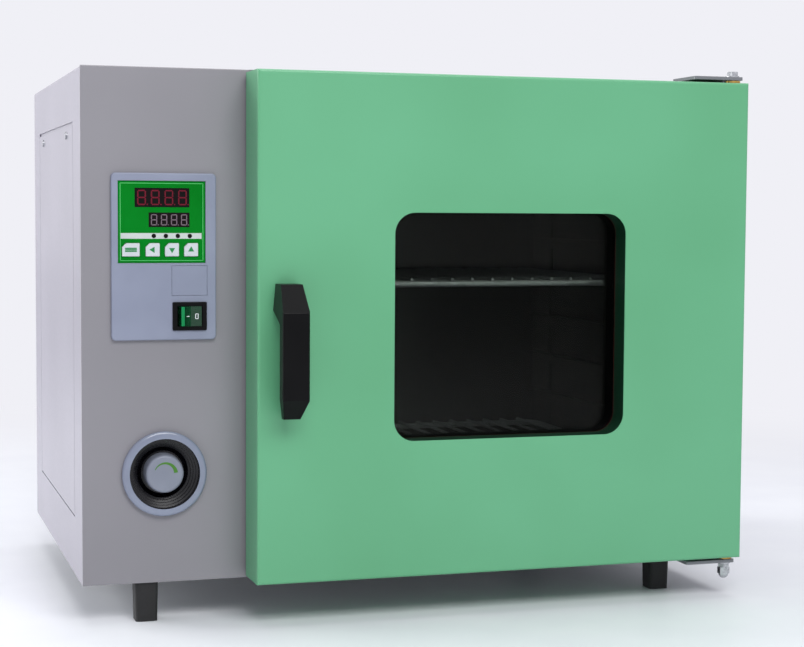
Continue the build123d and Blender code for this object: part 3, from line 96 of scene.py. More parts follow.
def painted_shade_reveal(material, coords, tone, window):
    """Tone that turns to a dark green painted shade inside a window's box, over a soft edge."""
    middle, half_size = window
    edge_width = 0.6 * mm
    offset = add_node(material, "ShaderNodeVectorMath", {"operation": "SUBTRACT"}, {1: middle}, {0: coords})
    reach = add_node(material, "ShaderNodeVectorMath", {"operation": "ABSOLUTE"},
                     links={0: offset.outputs[0]})
    room = add_node(material, "ShaderNodeVectorMath", {"operation": "SUBTRACT"}, {0: half_size},
                    {1: reach.outputs[0]})
    gaps = add_node(material, "ShaderNodeSeparateXYZ", links={"Vector": room.outputs[0]})
    least = add_node(material, "ShaderNodeMath", {"operation": "MINIMUM"},
                     links={0: gaps.outputs["X"], 1: gaps.outputs["Y"]})
    least = add_node(material, "ShaderNodeMath", {"operation": "MINIMUM"},
                     links={0: least.outputs[0], 1: gaps.outputs["Z"]})
    inside = add_node(material, "ShaderNodeMapRange", values={"From Min": 0.0, "From Max": edge_width},
                      links={"Value": least.outputs[0]})
    # Painted shade: a very dark green that stands in for the shade inside the window's recess
    mixed = add_node(material, "ShaderNodeMix", {"data_type": "RGBA"}, {7: linear("0c3320")},
                     {0: inside.outputs["Result"], 6: tone})
    return mixed.outputs[2]


def powder_coat(name, dark, light, low=0.34, high=0.46, window=None):
    """Powder-coated sheet steel: an even satin colour with a soft orange peel 3 mm across.

    A window is the middle and half size of an opening whose set-back faces get a dark green painted shade.
    """
    material, output, coords = new_material(name)
    drift_size, peel_size, peel_depth = 200 * mm, 3.03 * mm, 0.6 * mm
    drift = add_node(material, "ShaderNodeTexNoise", values={"Scale": 1 / drift_size, "Detail": 2.0},
                     links={"Vector": coords})
    grain = add_node(material, "ShaderNodeTexNoise",
                     values={"Scale": 1 / peel_size, "Detail": 3.0, "Roughness": 0.6},
                     links={"Vector": coords})
    peel_bump = add_node(material, "ShaderNodeBump", values={"Strength": 0.03, "Distance": peel_depth},
                         links={"Height": grain.outputs["Fac"]})
    roughness = add_node(material, "ShaderNodeMapRange", values={"To Min": low, "To Max": high},
                         links={"Value": grain.outputs["Fac"]})
    tone = two_tone(material, drift.outputs["Fac"], dark, light)
    if window:
        tone = painted_shade_reveal(material, coords, tone, window)
    shader = add_node(
        material, "ShaderNodeBsdfPrincipled",
        values={"IOR": 1.5, "Coat Weight": 0.12, "Coat Roughness": 0.22},
        links={"Base Color": tone,
               "Roughness": roughness.outputs["Result"],
               "Normal": peel_bump.outputs["Normal"]})
    material.node_tree.links.new(shader.outputs[0], output.inputs["Surface"])
    return material


def moulded_plastic(name, dark, light, low=0.38, high=0.5, grain_size=0.9 * mm, depth=0.06, coat=0.0,
                    shine=0.5):
    """Injection-moulded plastic with a spark-eroded grain and faint flow marks.

    The grain is drawn about 1 mm wide, several times coarser than the real one, so that it shows.
    """
    material, output, coords = new_material(name)
    flow_size, grain_relief = 35.7 * mm, 0.3 * mm
    flow = add_node(material, "ShaderNodeTexNoise", values={"Scale": 1 / flow_size, "Detail": 2.0},
                    links={"Vector": coords})
    grain = add_node(material, "ShaderNodeTexNoise", values={"Scale": 1 / grain_size, "Detail": 2.0},
                     links={"Vector": coords})
    bump = add_node(material, "ShaderNodeBump", values={"Strength": depth, "Distance": grain_relief},
                    links={"Height": grain.outputs["Fac"]})
    roughness = add_node(material, "ShaderNodeMapRange", values={"To Min": low, "To Max": high},
                         links={"Value": grain.outputs["Fac"]})
    shader = add_node(
        material, "ShaderNodeBsdfPrincipled",
        values={"IOR": 1.49, "Coat Weight": coat, "Coat Roughness": 0.08, "Specular IOR Level": shine},
        links={"Base Color": two_tone(material, flow.outputs["Fac"], dark, light),
               "Roughness": roughness.outputs["Result"],
               "Normal": bump.outputs["Normal"]})
    material.node_tree.links.new(shader.outputs[0], output.inputs["Surface"])
    return material


def drawn_metal(name, dark, light, grain, low, high, metallic=1.0):
    """Rolled or brushed metal; grain is a streak's size along X, Y and Z in millimetres.

    Fine streaks are drawn 1 mm wide or more, several times coarser than real ones, so that they show.
    """
    material, output, coords = new_material(name)
    streak_relief = 0.2 * mm
    streaks_per_metre = [1 / (size * mm) for size in grain]
    mapped = add_node(material, "ShaderNodeMapping", values={"Scale": streaks_per_metre},
                      links={"Vector": coords})
    streaks = add_node(material, "ShaderNodeTexNoise", values={"Scale": 1.0, "Detail": 4.0},
                       links={"Vector": mapped.outputs["Vector"]})
    bump = add_node(material, "ShaderNodeBump", values={"Strength": 0.08, "Distance": streak_relief},
                    links={"Height": streaks.outputs["Fac"]})
    roughness = add_node(material, "ShaderNodeMapRange", values={"To Min": low, "To Max": high},
                         links={"Value": streaks.outputs["Fac"]})
    shader = add_node(
        material, "ShaderNodeBsdfPrincipled", values={"Metallic": metallic},
        links={"Base Color": two_tone(material, streaks.outputs["Fac"], dark, light),
               "Roughness": roughness.outputs["Result"],
               "Normal": bump.outputs["Normal"]})
    material.node_tree.links.new(shader.outputs[0], output.inputs["Surface"])
    return material


def fibrous(name, dark, light):
    """Mineral wool: matted pale fibres about 1.2 mm apart."""
    material, output, coords = new_material(name)
    fibre_gap, mat_relief = 1.2 * mm, 2.0 * mm
    mat = add_node(material, "ShaderNodeTexNoise",
                   values={"Scale": 1 / fibre_gap, "Detail": 5.0, "Distortion": 1.5},
                   links={"Vector": coords})
    bump = add_node(material, "ShaderNodeBump", values={"Strength": 0.7, "Distance": mat_relief},
                    links={"Height": mat.outputs["Fac"]})
    shader = add_node(
        material, "ShaderNodeBsdfPrincipled", values={"Roughness": 0.95, "Sheen Weight": 0.3},
        links={"Base Color": two_tone(material, mat.outputs["Fac"], dark, light),
               "Normal": bump.outputs["Normal"]})
    material.node_tree.links.new(shader.outputs[0], output.inputs["Surface"])
    return material


def float_glass(name, tint, passing):
    """Heat-resistant float glass: tint colours what is seen through it, passing the lamps' light.

    Its index is below real glass, so that the pale floor's reflection doesn't hide the shelf.
    """
    material, output, coords = new_material(name)
    smear_size = 71.4 * mm
    smear = add_node(material, "ShaderNodeTexNoise", values={"Scale": 1 / smear_size, "Detail": 3.0},
                     links={"Vector": coords})
    roughness = add_node(material, "ShaderNodeMapRange", values={"To Min": 0.0, "To Max": 0.0004},
                         links={"Value": smear.outputs["Fac"]})
    glass = add_node(
        material, "ShaderNodeBsdfPrincipled",
        values={"Base Color": linear(tint), "Transmission Weight": 1.0, "IOR": 1.13},
        links={"Roughness": roughness.outputs["Result"]})
    clear = add_node(material, "ShaderNodeBsdfTransparent", values={"Color": linear(passing)})
    path = add_node(material, "ShaderNodeLightPath")
    mixed = add_node(material, "ShaderNodeMixShader",
                     links={0: path.outputs["Is Shadow Ray"], 1: glass.outputs[0], 2: clear.outputs[0]})
    material.node_tree.links.new(mixed.outputs[0], output.inputs["Surface"])
    return material


# Powder-coated steel panels: an even satin grey with a faint violet cast and broad soft highlights
case_grey = powder_coat("powder_coat_light_grey", "868489", "8d8b90")
# The same coat on the folded shell, painted a shade lighter: painted light for the stronger light that falls
# on the shell
shell_grey = powder_coat("powder_coat_light_grey_shell", "93909a", "9a97a1")
# Mint green coat on the door, with a painted shade that turns the set-back faces of its window nearly black
window_width, window_height, edge_margin = 224 * mm, 205 * mm, 1.3 * mm
reveal_from, reveal_to = 0.7 * mm, 27.7 * mm
door_front = place("door_skin")[0].y
glass_mid = place("outer_glass")[2]
window_middle = (glass_mid.x, door_front + (reveal_from + reveal_to) / 2, glass_mid.z)
window_half = (window_width / 2 + edge_margin, (reveal_to - reveal_from) / 2,
               window_height / 2 + edge_margin)
door_green = powder_coat("powder_coat_mint_green", "5ca678", "62ad80", window=(window_middle, window_half))
# Stoved enamel on the motor's can: plain black, smoother than the panels
motor_enamel = powder_coat("stoved_black_enamel", "1a1a1c", "232326", low=0.3, high=0.42)
# Powder coat on the hinge brackets: plain mid grey
bracket_grey = powder_coat("powder_coat_bracket_grey", "77777d", "808086", low=0.3, high=0.4)

# Galvanised sheet: dull pale grey with a faint mottle, drawn broader than real spangle so that it shows
zinc_sheet = drawn_metal("galvanised_steel_sheet", "8d9092", "a9acae", (55.6, 55.6, 55.6), 0.35, 0.55)
# Brushed stainless sheet: warm grey with fine streaks from front to back
stainless = drawn_metal("stainless_steel_sheet", "7b7976", "949290", (1.11, 83.3, 1.11), 0.25, 0.4)
# Electropolished wire: bright and nearly white, part diffuse so that it shows behind the glass
bright_wire = drawn_metal("electropolished_steel_wire", "d6d6d8", "ebebed", (3.33, 3.33, 3.33), 0.24, 0.34,
                          metallic=0.55)
# Zinc-plated pins, screws and shafts: pale grey with an uneven shine
zinc_fastener = drawn_metal("zinc_plated_steel", "a5a7aa", "c9cbce", (3.85, 3.85, 3.85), 0.2, 0.36)
# Rolled aluminium: light grey with upright streaks
impeller_metal = drawn_metal("rolled_aluminium", "b2b4b6", "cacccd", (2.0, 2.0, 25.0), 0.3, 0.45)
# Black anodised extrusion: dark and dull, with drawn lines from front to back
sink_metal = drawn_metal("anodised_aluminium_black", "26272a", "313236", (1.43, 25.0, 1.43), 0.4, 0.55)
# Turned brass: warm yellow with fine rings one above the other
brass = drawn_metal("turned_brass", "a98442", "c9a45a", (16.7, 16.7, 1.11), 0.2, 0.35)

# Mineral wool: straw yellow and quite matt
wool = fibrous("mineral_wool", "a8985a", "d6c98c")
# Float glass: clear and a little dark
pane = float_glass("heat_resistant_float_glass", "c0c4c1", "f6f8f7")

# Moulded silicone: dull red-brown, nearly matt
red_silicone = moulded_plastic("silicone_red_brown", "3c120f", "4a1914", low=0.5, high=0.65)
# Moulded rubber: matt black with a coarse grain
foot_rubber = moulded_plastic("rubber_black", "101011", "18181a", low=0.55, high=0.75, grain_size=1.2 * mm,
                              depth=0.2)
# Glass-filled nylon: deep black with weak highlights
black_pa = moulded_plastic("glass_filled_nylon_black", "040405", "080809", low=0.3, high=0.42, shine=0.12)
# Grained ABS: satin blue-grey on the bezel, a more neutral and smoother grey on the knob
bezel_abs = moulded_plastic("abs_blue_grey", "858b9f", "8b91a5", low=0.4, high=0.52)
knob_abs = moulded_plastic("abs_knob_grey", "7d8290", "868b99", low=0.34, high=0.46)
# Polished ABS: a slightly darker blue-grey with a thin clear highlight round the ring
ring_abs = moulded_plastic("abs_blue_grey_gloss", "7a8195", "828a9e", low=0.14, high=0.22, depth=0.02,
                           coat=0.6)
# Black ABS cup: satin, so that each ridge catches a thin line of light
cup_abs = moulded_plastic("abs_black_satin", "07070b", "0c0c12", low=0.22, high=0.32, depth=0.03, shine=0.4)

# Printed polyester film: flat saturated green with hardly any gloss
green_film = moulded_plastic("polyester_overlay_green", "00761a", "027d20", low=0.3, high=0.4, depth=0.03,
                             shine=0.06)
# Smoked acrylic: smooth and nearly black
dark_window = moulded_plastic("acrylic_window_smoked", "080304", "0e0607", low=0.05, high=0.1, depth=0.0,
                              shine=0.15)
# Embossed polyester keys: pale and satin
key_white = moulded_plastic("polyester_key_white", "c9ced2", "d2d7da", low=0.32, high=0.42)
# Moulded polycarbonate: a glossy dark green rocker with a light green end
rocker_green = moulded_plastic("polycarbonate_dark_green", "06331c", "0a3d22", low=0.1, high=0.18, coat=0.4)
rocker_light = moulded_plastic("polycarbonate_light_green", "1f8a52", "2a9a5e", low=0.12, high=0.2, coat=0.4)

# Screen-printing inks: flat, even and barely glossy
white_ink = moulded_plastic("screen_print_white", "d9dde0", "e4e7e9", low=0.45, high=0.55)
green_ink = moulded_plastic("screen_print_green", "0a7c3c", "0d8743", low=0.4, high=0.5)
arc_ink = moulded_plastic("screen_print_leaf_green", "3c741a", "46801f", low=0.4, high=0.5)
line_ink = moulded_plastic("screen_print_pale_green", "4fc06a", "5ccb76", low=0.4, high=0.5)
strip_ink = moulded_plastic("screen_print_pale_grey", "bfc7c4", "c9d0cd", low=0.4, high=0.5)
# Unlit light-emitting segments: dull red above, dull pinkish grey below
red_digit = moulded_plastic("led_segment_red_unlit", "6a1626", "76192c", low=0.2, high=0.3, shine=0.15)
grey_digit = moulded_plastic("led_segment_grey_unlit", "6f6069", "7c6c75", low=0.2, high=0.3, shine=0.15)

# The finish of each CAD node
finish_of = {
    "column_panel": case_grey, "front_frame": case_grey, "casing_wrap": shell_grey,
    "access_cover": shell_grey, "rear_panel": shell_grey, "door_skin": door_green, "base_plate": zinc_sheet,
    "partition_panel": zinc_sheet, "latch_pocket": zinc_sheet, "vent_duct": zinc_sheet,
    "damper_shutter": zinc_sheet, "chamber_liner": stainless, "duct_panel": stainless,
    "shelf_rail_left": stainless, "shelf_rail_right": stainless, "door_liner": stainless,
    "heater_element": stainless, "shelf_upper": bright_wire, "shelf_lower": bright_wire,
    "sensor_probe": bright_wire, "hinge_pin_upper": zinc_fastener, "hinge_pin_lower": zinc_fastener,
    "casing_screws": zinc_fastener, "fan_shaft": zinc_fastener, "latch_shaft": zinc_fastener,
    "damper_shaft": zinc_fastener, "striker_plate": zinc_fastener, "hinge_bracket_upper": bracket_grey,
    "hinge_bracket_lower": bracket_grey, "fan_motor": motor_enamel, "fan_impeller": impeller_metal,
    "solid_state_relay": sink_metal, "chamber_insulation": wool, "door_insulation": wool,
    "outer_glass": pane, "inner_glass": pane, "hinge_bushes": brass, "latch_bush": brass,
    "door_gasket": red_silicone, "window_seal": red_silicone, "feet": foot_rubber, "door_handle": black_pa,
    "glass_spacer": black_pa, "controller_case": black_pa, "switch_frame": black_pa,
    "cable_gland": black_pa, "vent_port": black_pa, "control_bezel": bezel_abs,
    "blanking_plate": bezel_abs, "vent_knob": knob_abs, "vent_ring": ring_abs,
    "controller_overlay": green_film, "display_upper": dark_window, "display_lower": dark_window,
    "indicator_lamps": dark_window, "key_menu": key_white, "key_left": key_white, "key_down": key_white,
    "key_up": key_white, "switch_rocker": rocker_green,
}
for name, thing in nodes.items():
    thing.data.materials.clear()
    thing.data.materials.append(finish_of[name])


# Pieces modelled here, each from a primitive that is shaped in edit mode

smooth_below = radians(32)


def turned(x, z, profile, sides):
    """Turned piece about an axis along Y: a circle extruded and resized through each radius and depth."""
    bpy.ops.object.select_all(action="DESELECT")
    bpy.ops.mesh.primitive_circle_add(vertices=sides, radius=profile[0][0], location=(x, profile[0][1], z),
                                      rotation=(pi / 2, 0, 0))
    bpy.ops.object.transform_apply(location=True, rotation=True, scale=True)
    bpy.ops.object.mode_set(mode="EDIT")
    bpy.ops.mesh.select_all(action="SELECT")
    for (old_radius, old_y), (radius, y) in zip(profile, profile[1:]):
        bpy.ops.mesh.extrude_region_move(TRANSFORM_OT_translate={"value": (0, y - old_y, 0)})
        bpy.ops.transform.resize(value=(radius / old_radius, 1, radius / old_radius),
                                 center_override=(x, y, z))
    bpy.ops.mesh.select_all(action="SELECT")
    bpy.ops.mesh.remove_doubles(threshold=1e-6)
    bpy.ops.mesh.fill_holes(sides=0)
    bpy.ops.mesh.normals_make_consistent(inside=False)
    bpy.ops.object.mode_set(mode="OBJECT")
    return bpy.context.active_object


def pull_forward(piece, thickness, corner=0.0):
    """Give a flat outline its thickness towards the front, its corners rounded first."""
    bpy.ops.object.mode_set(mode="EDIT")
    bpy.ops.mesh.select_all(action="SELECT")
    if corner > 0:
        bpy.ops.mesh.bevel(offset=corner, segments=5, affect="VERTICES")
    bpy.ops.mesh.extrude_region_move(TRANSFORM_OT_translate={"value": (0, -thickness, 0)})
    bpy.ops.mesh.select_all(action="SELECT")
    bpy.ops.mesh.normals_make_consistent(inside=False)
    bpy.ops.object.mode_set(mode="OBJECT")
    return piece


def front_plate(x, z, width, height, y_back, thickness, corner=0.0):
    """Plate that faces the front, from a plane whose back is at y_back."""
    bpy.ops.object.select_all(action="DESELECT")
    bpy.ops.mesh.primitive_plane_add(size=1, location=(x, y_back, z), rotation=(pi / 2, 0, 0))
    piece = bpy.context.active_object
    piece.scale = (width, height, 1)
    bpy.ops.object.transform_apply(location=True, rotation=True, scale=True)
    return pull_forward(piece, thickness, corner)


def joined(parts):
    """One piece from several, for what is printed or moulded together."""
    bpy.ops.object.select_all(action="DESELECT")
    for part in parts:
        part.select_set(True)
    bpy.context.view_layer.objects.active = parts[0]
    bpy.ops.object.join()
    return bpy.context.active_object


def settle(piece, name, body, finish, hidden=()):
    """Name a finished piece, shade it smooth, give it its finish and body, and hide what it stands for."""
    piece.name = name
    piece.data.name = name
    piece.data.materials.clear()
    piece.data.materials.append(finish)
    bpy.ops.object.select_all(action="DESELECT")
    piece.select_set(True)
    bpy.context.view_layer.objects.active = piece
    bpy.ops.object.transform_apply(location=True, rotation=True, scale=True)
    bpy.ops.object.shade_smooth_by_angle(angle=smooth_below)
    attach(piece, body)
    for node in hidden:
        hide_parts(node)


def turn_about(piece, angle, axis, centre):
    """Turn a piece about a line through centre and apply the turn to its mesh."""
    turn = Matrix.Rotation(angle, 4, axis)
    piece.data.transform(Matrix.Translation(centre) @ turn @ Matrix.Translation(-centre))


# Vent: pale bezel ring with a rolled face, and the ridged black cup inside it
ring_low, ring_high, ring_mid = place("vent_ring")
vent_x, vent_z = ring_mid.x, ring_mid.z
ring_wall = 6.5 * mm
ring_r = (ring_high.x - ring_low.x) / 2
bore_r = ring_r - ring_wall
ring_front = ring_low.y
panel_front = place("column_panel")[0].y
outer_roll_width, outer_roll_depth = 2.52 * mm, 2.4 * mm
inner_roll = 2.2 * mm
outer_angles, inner_angles = (18, 36, 54, 72, 90), (90, 66, 42, 18)
inner_wall_r, inner_wall_front = bore_r + 2.0 * mm, ring_front + 2.6 * mm
ring_profile = [(ring_r, panel_front), (ring_r, ring_front + outer_roll_depth)]
ring_profile += [(ring_r - outer_roll_width * (1 - cos(t)), ring_front + outer_roll_depth * (1 - sin(t)))
                 for t in (radians(d) for d in outer_angles)]
ring_profile += [(bore_r + inner_roll * cos(t), ring_front + inner_roll * (1 - sin(t)))
                 for t in (radians(d) for d in inner_angles)]
ring_profile += [(inner_wall_r, inner_wall_front), (inner_wall_r, panel_front), (ring_r, panel_front)]
ring_piece = turned(vent_x, vent_z, ring_profile, 128)
settle(ring_piece, "vent_bezel_ring", "cabinet", ring_abs, ["vent_ring"])

cup_ridges = 5
ridge_depth = 1.5 * mm
floor_grooves, floor_groove_pitch = 3, 1.3 * mm
ridge_lean, groove_lean = 0.2 * mm, 0.25 * mm
cup_wall, cup_depth = 2.0 * mm, 9.0 * mm
cup_floor_r = 23.0 * mm
shaft_clear_r = 3.3 * mm
cup_back = panel_front + cup_depth
cone_r, cone_y = bore_r + 1.9 * mm, ring_front + 2.7 * mm
cup_profile = [(cone_r, cone_y)]
for k in range(1, cup_ridges + 1):
    share = k / cup_ridges
    crest_r = cone_r + (cup_floor_r - cone_r) * share
    crest_y = cone_y + (cup_back - ridge_depth - cone_y) * share
    cup_profile += [(crest_r, crest_y), (crest_r - ridge_lean, crest_y + ridge_depth)]
for k in range(1, floor_grooves + 1):
    groove_r = cup_floor_r - floor_groove_pitch * k
    cup_profile += [(groove_r + groove_lean, cup_back - ridge_depth), (groove_r, cup_back)]
cup_profile += [(shaft_clear_r, cup_back), (shaft_clear_r, cup_back + cup_wall),
                (cup_floor_r + cup_wall, cup_back + cup_wall), (cone_r, panel_front), (cone_r, cone_y)]
cup_piece = turned(vent_x, vent_z, cup_profile, 128)
settle(cup_piece, "vent_ridged_cup", "cabinet", cup_abs)

# Vent knob: slightly tapered, its face edge rolled, with a printed arc that thickens to the right
knob_low, knob_high = place("vent_knob")[:2]
knob_r = (knob_high.x - knob_low.x) / 2
knob_front = knob_low.y
knob_bore_r = 3.0 * mm
face_edge = ((0.8, 2.4), (1.1, 1.5), (1.7, 0.6), (2.6, 0.1), (3.4, 0.0))
knob_profile = [(knob_bore_r, panel_front), (knob_bore_r, knob_high.y), (knob_r, knob_high.y)]
knob_profile += [(knob_r - inward * mm, knob_front + back * mm) for inward, back in face_edge]
knob_piece = turned(vent_x, vent_z, knob_profile, 96)
settle(knob_piece, "vent_knob_face", "damper", knob_abs, ["vent_knob"])

arc_r = 9.8 * mm
arc_from, arc_to = radians(156), radians(6)
arc_thin, arc_swell, swell_power = 0.7 * mm, 2.9 * mm, 1.2
arc_lift, arc_thickness = 0.02 * mm, 0.06 * mm
bpy.ops.object.select_all(action="DESELECT")
bpy.ops.mesh.primitive_grid_add(x_subdivisions=32, y_subdivisions=1, size=1, location=(0, 0, 0))
arc = bpy.context.active_object
for vertex in arc.data.vertices:
    share = vertex.co.x + 0.5
    angle = arc_from + (arc_to - arc_from) * share
    reach = arc_r + vertex.co.y * (arc_thin + arc_swell * share ** swell_power)
    vertex.co = Vector((vent_x + reach * cos(angle), knob_front - arc_lift, vent_z + reach * sin(angle)))
settle(pull_forward(arc, arc_thickness), "vent_knob_arc", "damper", arc_ink)

# Controller face: printed outline, pale strip behind the lamps, key legends
face_low, face_high, face_mid = place("controller_overlay")
face_y = face_low.y
print_thickness = 0.05 * mm


def printed(x, z, width, height, y):
    """Patch of screen print that lies on a surface at y."""
    return front_plate(x, z, width, height, y, print_thickness)


line_inset = 2.0 * mm
line_width = 0.5 * mm
half_w = (face_high.x - face_low.x) / 2 - line_inset
half_h = (face_high.z - face_low.z) / 2 - line_inset
outline = [printed(face_mid.x, face_mid.z + side * half_h, 2 * half_w + line_width, line_width, face_y)
           for side in (-1, 1)]
outline += [printed(face_mid.x + side * half_w, face_mid.z, line_width, 2 * half_h, face_y)
            for side in (-1, 1)]
settle(joined(outline), "face_outline_print", "cabinet", line_ink)

lamp_mid = place("indicator_lamps")[2]
strip_left, strip_right = face_low.x + 2.2 * mm, face_high.x - 3.2 * mm
strip_height = 5.0 * mm
strip = printed((strip_left + strip_right) / 2, lamp_mid.z, strip_right - strip_left, strip_height, face_y)
settle(strip, "face_pale_strip", "cabinet", strip_ink)


def triangle(x, z, size, turn, y):
    """Three-sided legend that points up before it is turned."""
    bpy.ops.object.select_all(action="DESELECT")
    bpy.ops.mesh.primitive_circle_add(vertices=3, radius=size, fill_type="NGON", location=(x, y, z),
                                      rotation=(pi / 2, 0, 0))
    bpy.ops.object.transform_apply(location=True, rotation=True, scale=True)
    piece = pull_forward(bpy.context.active_object, print_thickness)
    turn_about(piece, turn, "Y", Vector((x, y, z)))
    return piece


menu_low, _, menu_mid = place("key_menu")
bar_pitch, bar_width, bar_height = 1.3 * mm, 10.4 * mm, 1.1 * mm
legend = joined([printed(menu_mid.x, menu_mid.z + row * bar_pitch, bar_width, bar_height, menu_low.y)
                 for row in (-1, 0, 1)])
settle(legend, "menu_key_legend", "menu_button", green_ink)
arrow_size = 3.1 * mm
arrow_keys = (("key_left", "left_button", -pi / 2), ("key_down", "down_button", pi),
              ("key_up", "up_button", 0.0))
for key, body, turn in arrow_keys:
    key_low, _, key_mid = place(key)
    arrow = triangle(key_mid.x, key_mid.z, arrow_size, turn, key_low.y)
    settle(arrow, key + "_legend", body, green_ink)

# Digits: four unlit seven-segment digits on the face of each window, as they show through it
digit_count = 4
segment_thickness = 0.04 * mm


def digit_row(window, name, finish, pitch, width, height, stroke):
    """A row of unlit digits, the first modelled from seven bars and a point, the rest copied from it."""
    low, _, middle = place(window)
    first_x = middle.x - pitch * (digit_count - 1) / 2
    reach, side_reach = (height - stroke) / 2, (width - stroke) / 2
    bar_length, side_length = width - 1.5 * stroke, reach - 0.6 * stroke
    bar_corner, point_corner = 0.3 * stroke, 0.45 * stroke
    bars = [front_plate(first_x, middle.z + row * reach, bar_length, stroke, low.y, segment_thickness,
                        bar_corner) for row in (-1, 0, 1)]
    bars += [front_plate(first_x + side * side_reach, middle.z + row * reach / 2, stroke, side_length, low.y,
                         segment_thickness, bar_corner) for side in (-1, 1) for row in (-1, 1)]
    bars += [front_plate(first_x + width / 2 + stroke, middle.z - reach, stroke, stroke, low.y,
                         segment_thickness, point_corner)]
    digits = [joined(bars)]
    for k in range(1, digit_count):
        digit = digits[0].copy()
        digit.data = digits[0].data.copy()
        bpy.context.collection.objects.link(digit)
        digit.data.transform(Matrix.Translation((pitch * k, 0, 0)))
        digits.append(digit)
    for k, digit in enumerate(digits, 1):
        settle(digit, f"{name}_{k}", "cabinet", finish)


digit_row("display_upper", "upper_digit", red_digit,
          pitch=12.1 * mm, width=7.8 * mm, height=13.4 * mm, stroke=1.2 * mm)
digit_row("display_lower", "lower_digit", grey_digit,
          pitch=8.9 * mm, width=5.6 * mm, height=9.8 * mm, stroke=0.9 * mm)

# Rocker: light green left end, and the marks for on and off
rocker_mid = place("switch_rocker")[2]
switch_low, _, switch_mid = place("switch_frame")
rocker_tilt = radians(10)
facet_lean = radians(20)
rocker_height = 17.6 * mm
waist_depth = 3.6 * mm
pivot_y = switch_low.y + 2.6 * mm
waist_x = switch_mid.x + waist_depth * sin(rocker_tilt)
flat_y = pivot_y - waist_depth * cos(rocker_tilt)
mark_stroke, mark_length, mark_thickness = 0.7 * mm, 2.8 * mm, 0.06 * mm
plate_corner = 0.2 * mm


def on_left_facet(along, width, height, thickness, corner=0.0):
    """Plate on the rocker's raised left facet, its middle at this distance from the rocker's waist."""
    piece = front_plate(waist_x - along, rocker_mid.z, width, height, flat_y, thickness, corner)
    turn_about(piece, facet_lean, "Z", Vector((waist_x, flat_y, rocker_mid.z)))
    return piece


light_along, on_along, off_along = 8.0 * mm, 2.8 * mm, 5.4 * mm
light_width, light_thickness, light_inset = 3.2 * mm, 0.1 * mm, 0.3 * mm
light_height = rocker_height - 2 * light_inset
light_end = on_left_facet(light_along, light_width, light_height, light_thickness, plate_corner)
settle(light_end, "rocker_light_end", "power_rocker", rocker_light)
on_mark = on_left_facet(on_along, mark_length, mark_stroke, mark_thickness)
settle(on_mark, "rocker_on_mark", "power_rocker", white_ink)

off_x = waist_x + off_along
off_half_width, off_half_height, off_side = 1.2 * mm, 2.1 * mm, 4.2 * mm
off_bars = [front_plate(off_x, rocker_mid.z + end * off_half_height, mark_length, mark_stroke, flat_y,
                        mark_thickness, plate_corner) for end in (-1, 1)]
off_bars += [front_plate(off_x + end * off_half_width, rocker_mid.z, mark_stroke, off_side, flat_y,
                         mark_thickness, plate_corner) for end in (-1, 1)]
settle(joined(off_bars), "rocker_off_mark", "power_rocker", white_ink)

# Floor: pale satin acrylic, which the camera sees fade to the backdrop's own white with distance
backdrop_white = linear("f0f0f6")
bpy.ops.object.select_all(action="DESELECT")
bpy.ops.mesh.primitive_plane_add(size=20, location=(0, 0, 0))
floor = bpy.context.active_object
floor.name = "studio_floor"
floor_finish, floor_output, floor_coords = new_material("satin_white_acrylic_floor")
scuff_size = 111 * mm
scuffs = add_node(floor_finish, "ShaderNodeTexNoise", values={"Scale": 1 / scuff_size, "Detail": 3.0},
                  links={"Vector": floor_coords})
floor_tone = two_tone(floor_finish, scuffs.outputs["Fac"], "eef0f5", "f2f4f8")
floor_roughness = add_node(floor_finish, "ShaderNodeMapRange", values={"To Min": 0.4, "To Max": 0.46},
                           links={"Value": scuffs.outputs["Fac"]})
floor_shader = add_node(floor_finish, "ShaderNodeBsdfPrincipled", values={"IOR": 1.25},
                        links={"Base Color": floor_tone, "Roughness": floor_roughness.outputs["Result"]})
floor_white = add_node(floor_finish, "ShaderNodeEmission", values={"Color": backdrop_white})
fade_from, fade_to = 0.55, 1.6
away = add_node(floor_finish, "ShaderNodeVectorMath", {"operation": "LENGTH"}, links={0: floor_coords})
fade = add_node(floor_finish, "ShaderNodeMapRange", {"interpolation_type": "SMOOTHSTEP"},
                {"From Min": fade_from, "From Max": fade_to}, {"Value": away.outputs["Value"]})
floor_rays = add_node(floor_finish, "ShaderNodeLightPath")
seen_far = add_node(floor_finish, "ShaderNodeMath", {"operation": "MULTIPLY"},
                    links={0: floor_rays.outputs["Is Camera Ray"], 1: fade.outputs["Result"]})
floor_mix = add_node(floor_finish, "ShaderNodeMixShader",
                     links={0: seen_far.outputs[0], 1: floor_shader.outputs[0], 2: floor_white.outputs[0]})
floor_finish.node_tree.links.new(floor_mix.outputs[0], floor_output.inputs["Surface"])
floor.data.materials.append(floor_finish)

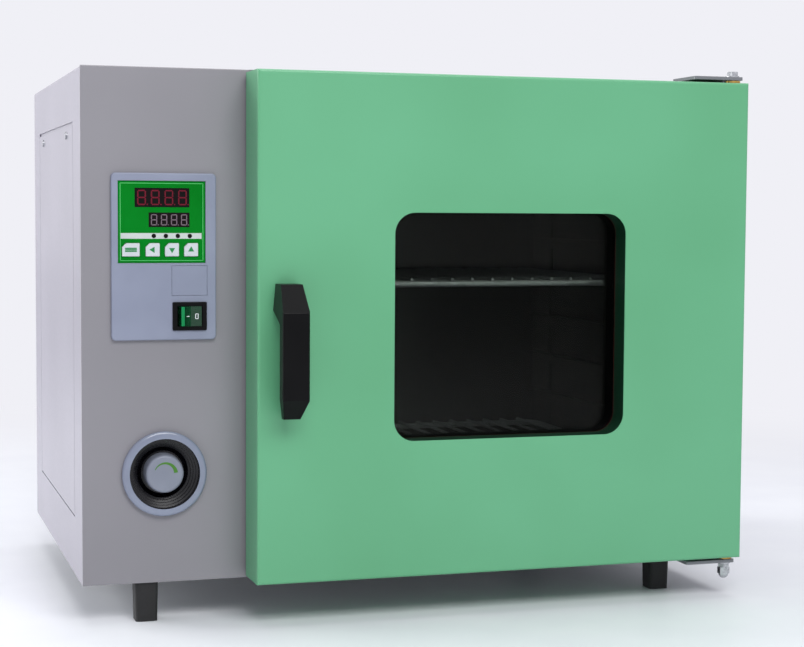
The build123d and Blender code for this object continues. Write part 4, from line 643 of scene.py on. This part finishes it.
# World: the same white for the camera, metal and glass, and a weaker fill for all other light
scene = bpy.context.scene
scene.view_settings.view_transform = "Standard"
world = bpy.data.worlds.new("studio")
scene.world = world
world.use_nodes = True
world.node_tree.nodes.clear()
rays = add_node(world, "ShaderNodeLightPath")
mirrored = add_node(world, "ShaderNodeMath", {"operation": "MAXIMUM"},
                    links={0: rays.outputs["Is Glossy Ray"], 1: rays.outputs["Is Transmission Ray"]})
pale = add_node(world, "ShaderNodeMath", {"operation": "MAXIMUM"},
                links={0: rays.outputs["Is Camera Ray"], 1: mirrored.outputs[0]})
shown = add_node(world, "ShaderNodeBackground", values={"Color": backdrop_white, "Strength": 1.0})
fill = add_node(world, "ShaderNodeBackground", values={"Color": linear("f4f4ff"), "Strength": 0.38})
sky = add_node(world, "ShaderNodeMixShader",
               links={0: pale.outputs[0], 1: fill.outputs[0], 2: shown.outputs[0]})
add_node(world, "ShaderNodeOutputWorld", links={"Surface": sky.outputs[0]})


def softbox(name, spot, aim, width, height, power):
    """Rectangular studio lamp at spot, turned towards aim."""
    lamp = bpy.data.lights.new(name, "AREA")
    lamp.shape = "RECTANGLE"
    lamp.size = width
    lamp.size_y = height
    lamp.energy = power
    holder = bpy.data.objects.new(name, lamp)
    scene.collection.objects.link(holder)
    holder.location = spot
    holder.rotation_euler = (Vector(aim) - Vector(spot)).to_track_quat("-Z", "Y").to_euler()


softbox("front_softbox", spot=(0.0, -2.3, 2.1), aim=(-0.05, -0.1, 0.2), width=1.8, height=1.2, power=51)
softbox("rear_left_softbox", spot=(-2.1, 0.9, 0.8), aim=(-0.31, 0.03, 0.27), width=1.2, height=1.5, power=43)
softbox("top_softbox", spot=(0.1, 0.2, 2.3), aim=(0.0, 0.0, 0.4), width=1.8, height=1.8, power=20)

# Camera: fitted to the photograph's view of the cabinet's edges
camera_data = bpy.data.cameras.new("studio_camera")
camera = bpy.data.objects.new("studio_camera", camera_data)
scene.collection.objects.link(camera)
scene.camera = camera
camera_data.sensor_width = 36.0
camera_data.lens = 77.585
camera_data.shift_x = 0.02114
camera_x, camera_y, camera_z = -0.4995, -1.68734, 0.36836
yaw, pitch, roll = radians(17.046), radians(3.699), radians(0.325)
ahead = Vector((sin(yaw), cos(yaw), 0))
across = Vector((cos(yaw), -sin(yaw), 0))
up = Vector((0, 0, 1))
look = ahead * cos(pitch) - up * sin(pitch)
lift = up * cos(pitch) + ahead * sin(pitch)
side = across * cos(roll) + lift * sin(roll)
crown = lift * cos(roll) - across * sin(roll)
camera.matrix_world = Matrix((
    (side.x, crown.x, -look.x, camera_x),
    (side.y, crown.y, -look.y, camera_y),
    (side.z, crown.z, -look.z, camera_z),
    (0, 0, 0, 1),
))
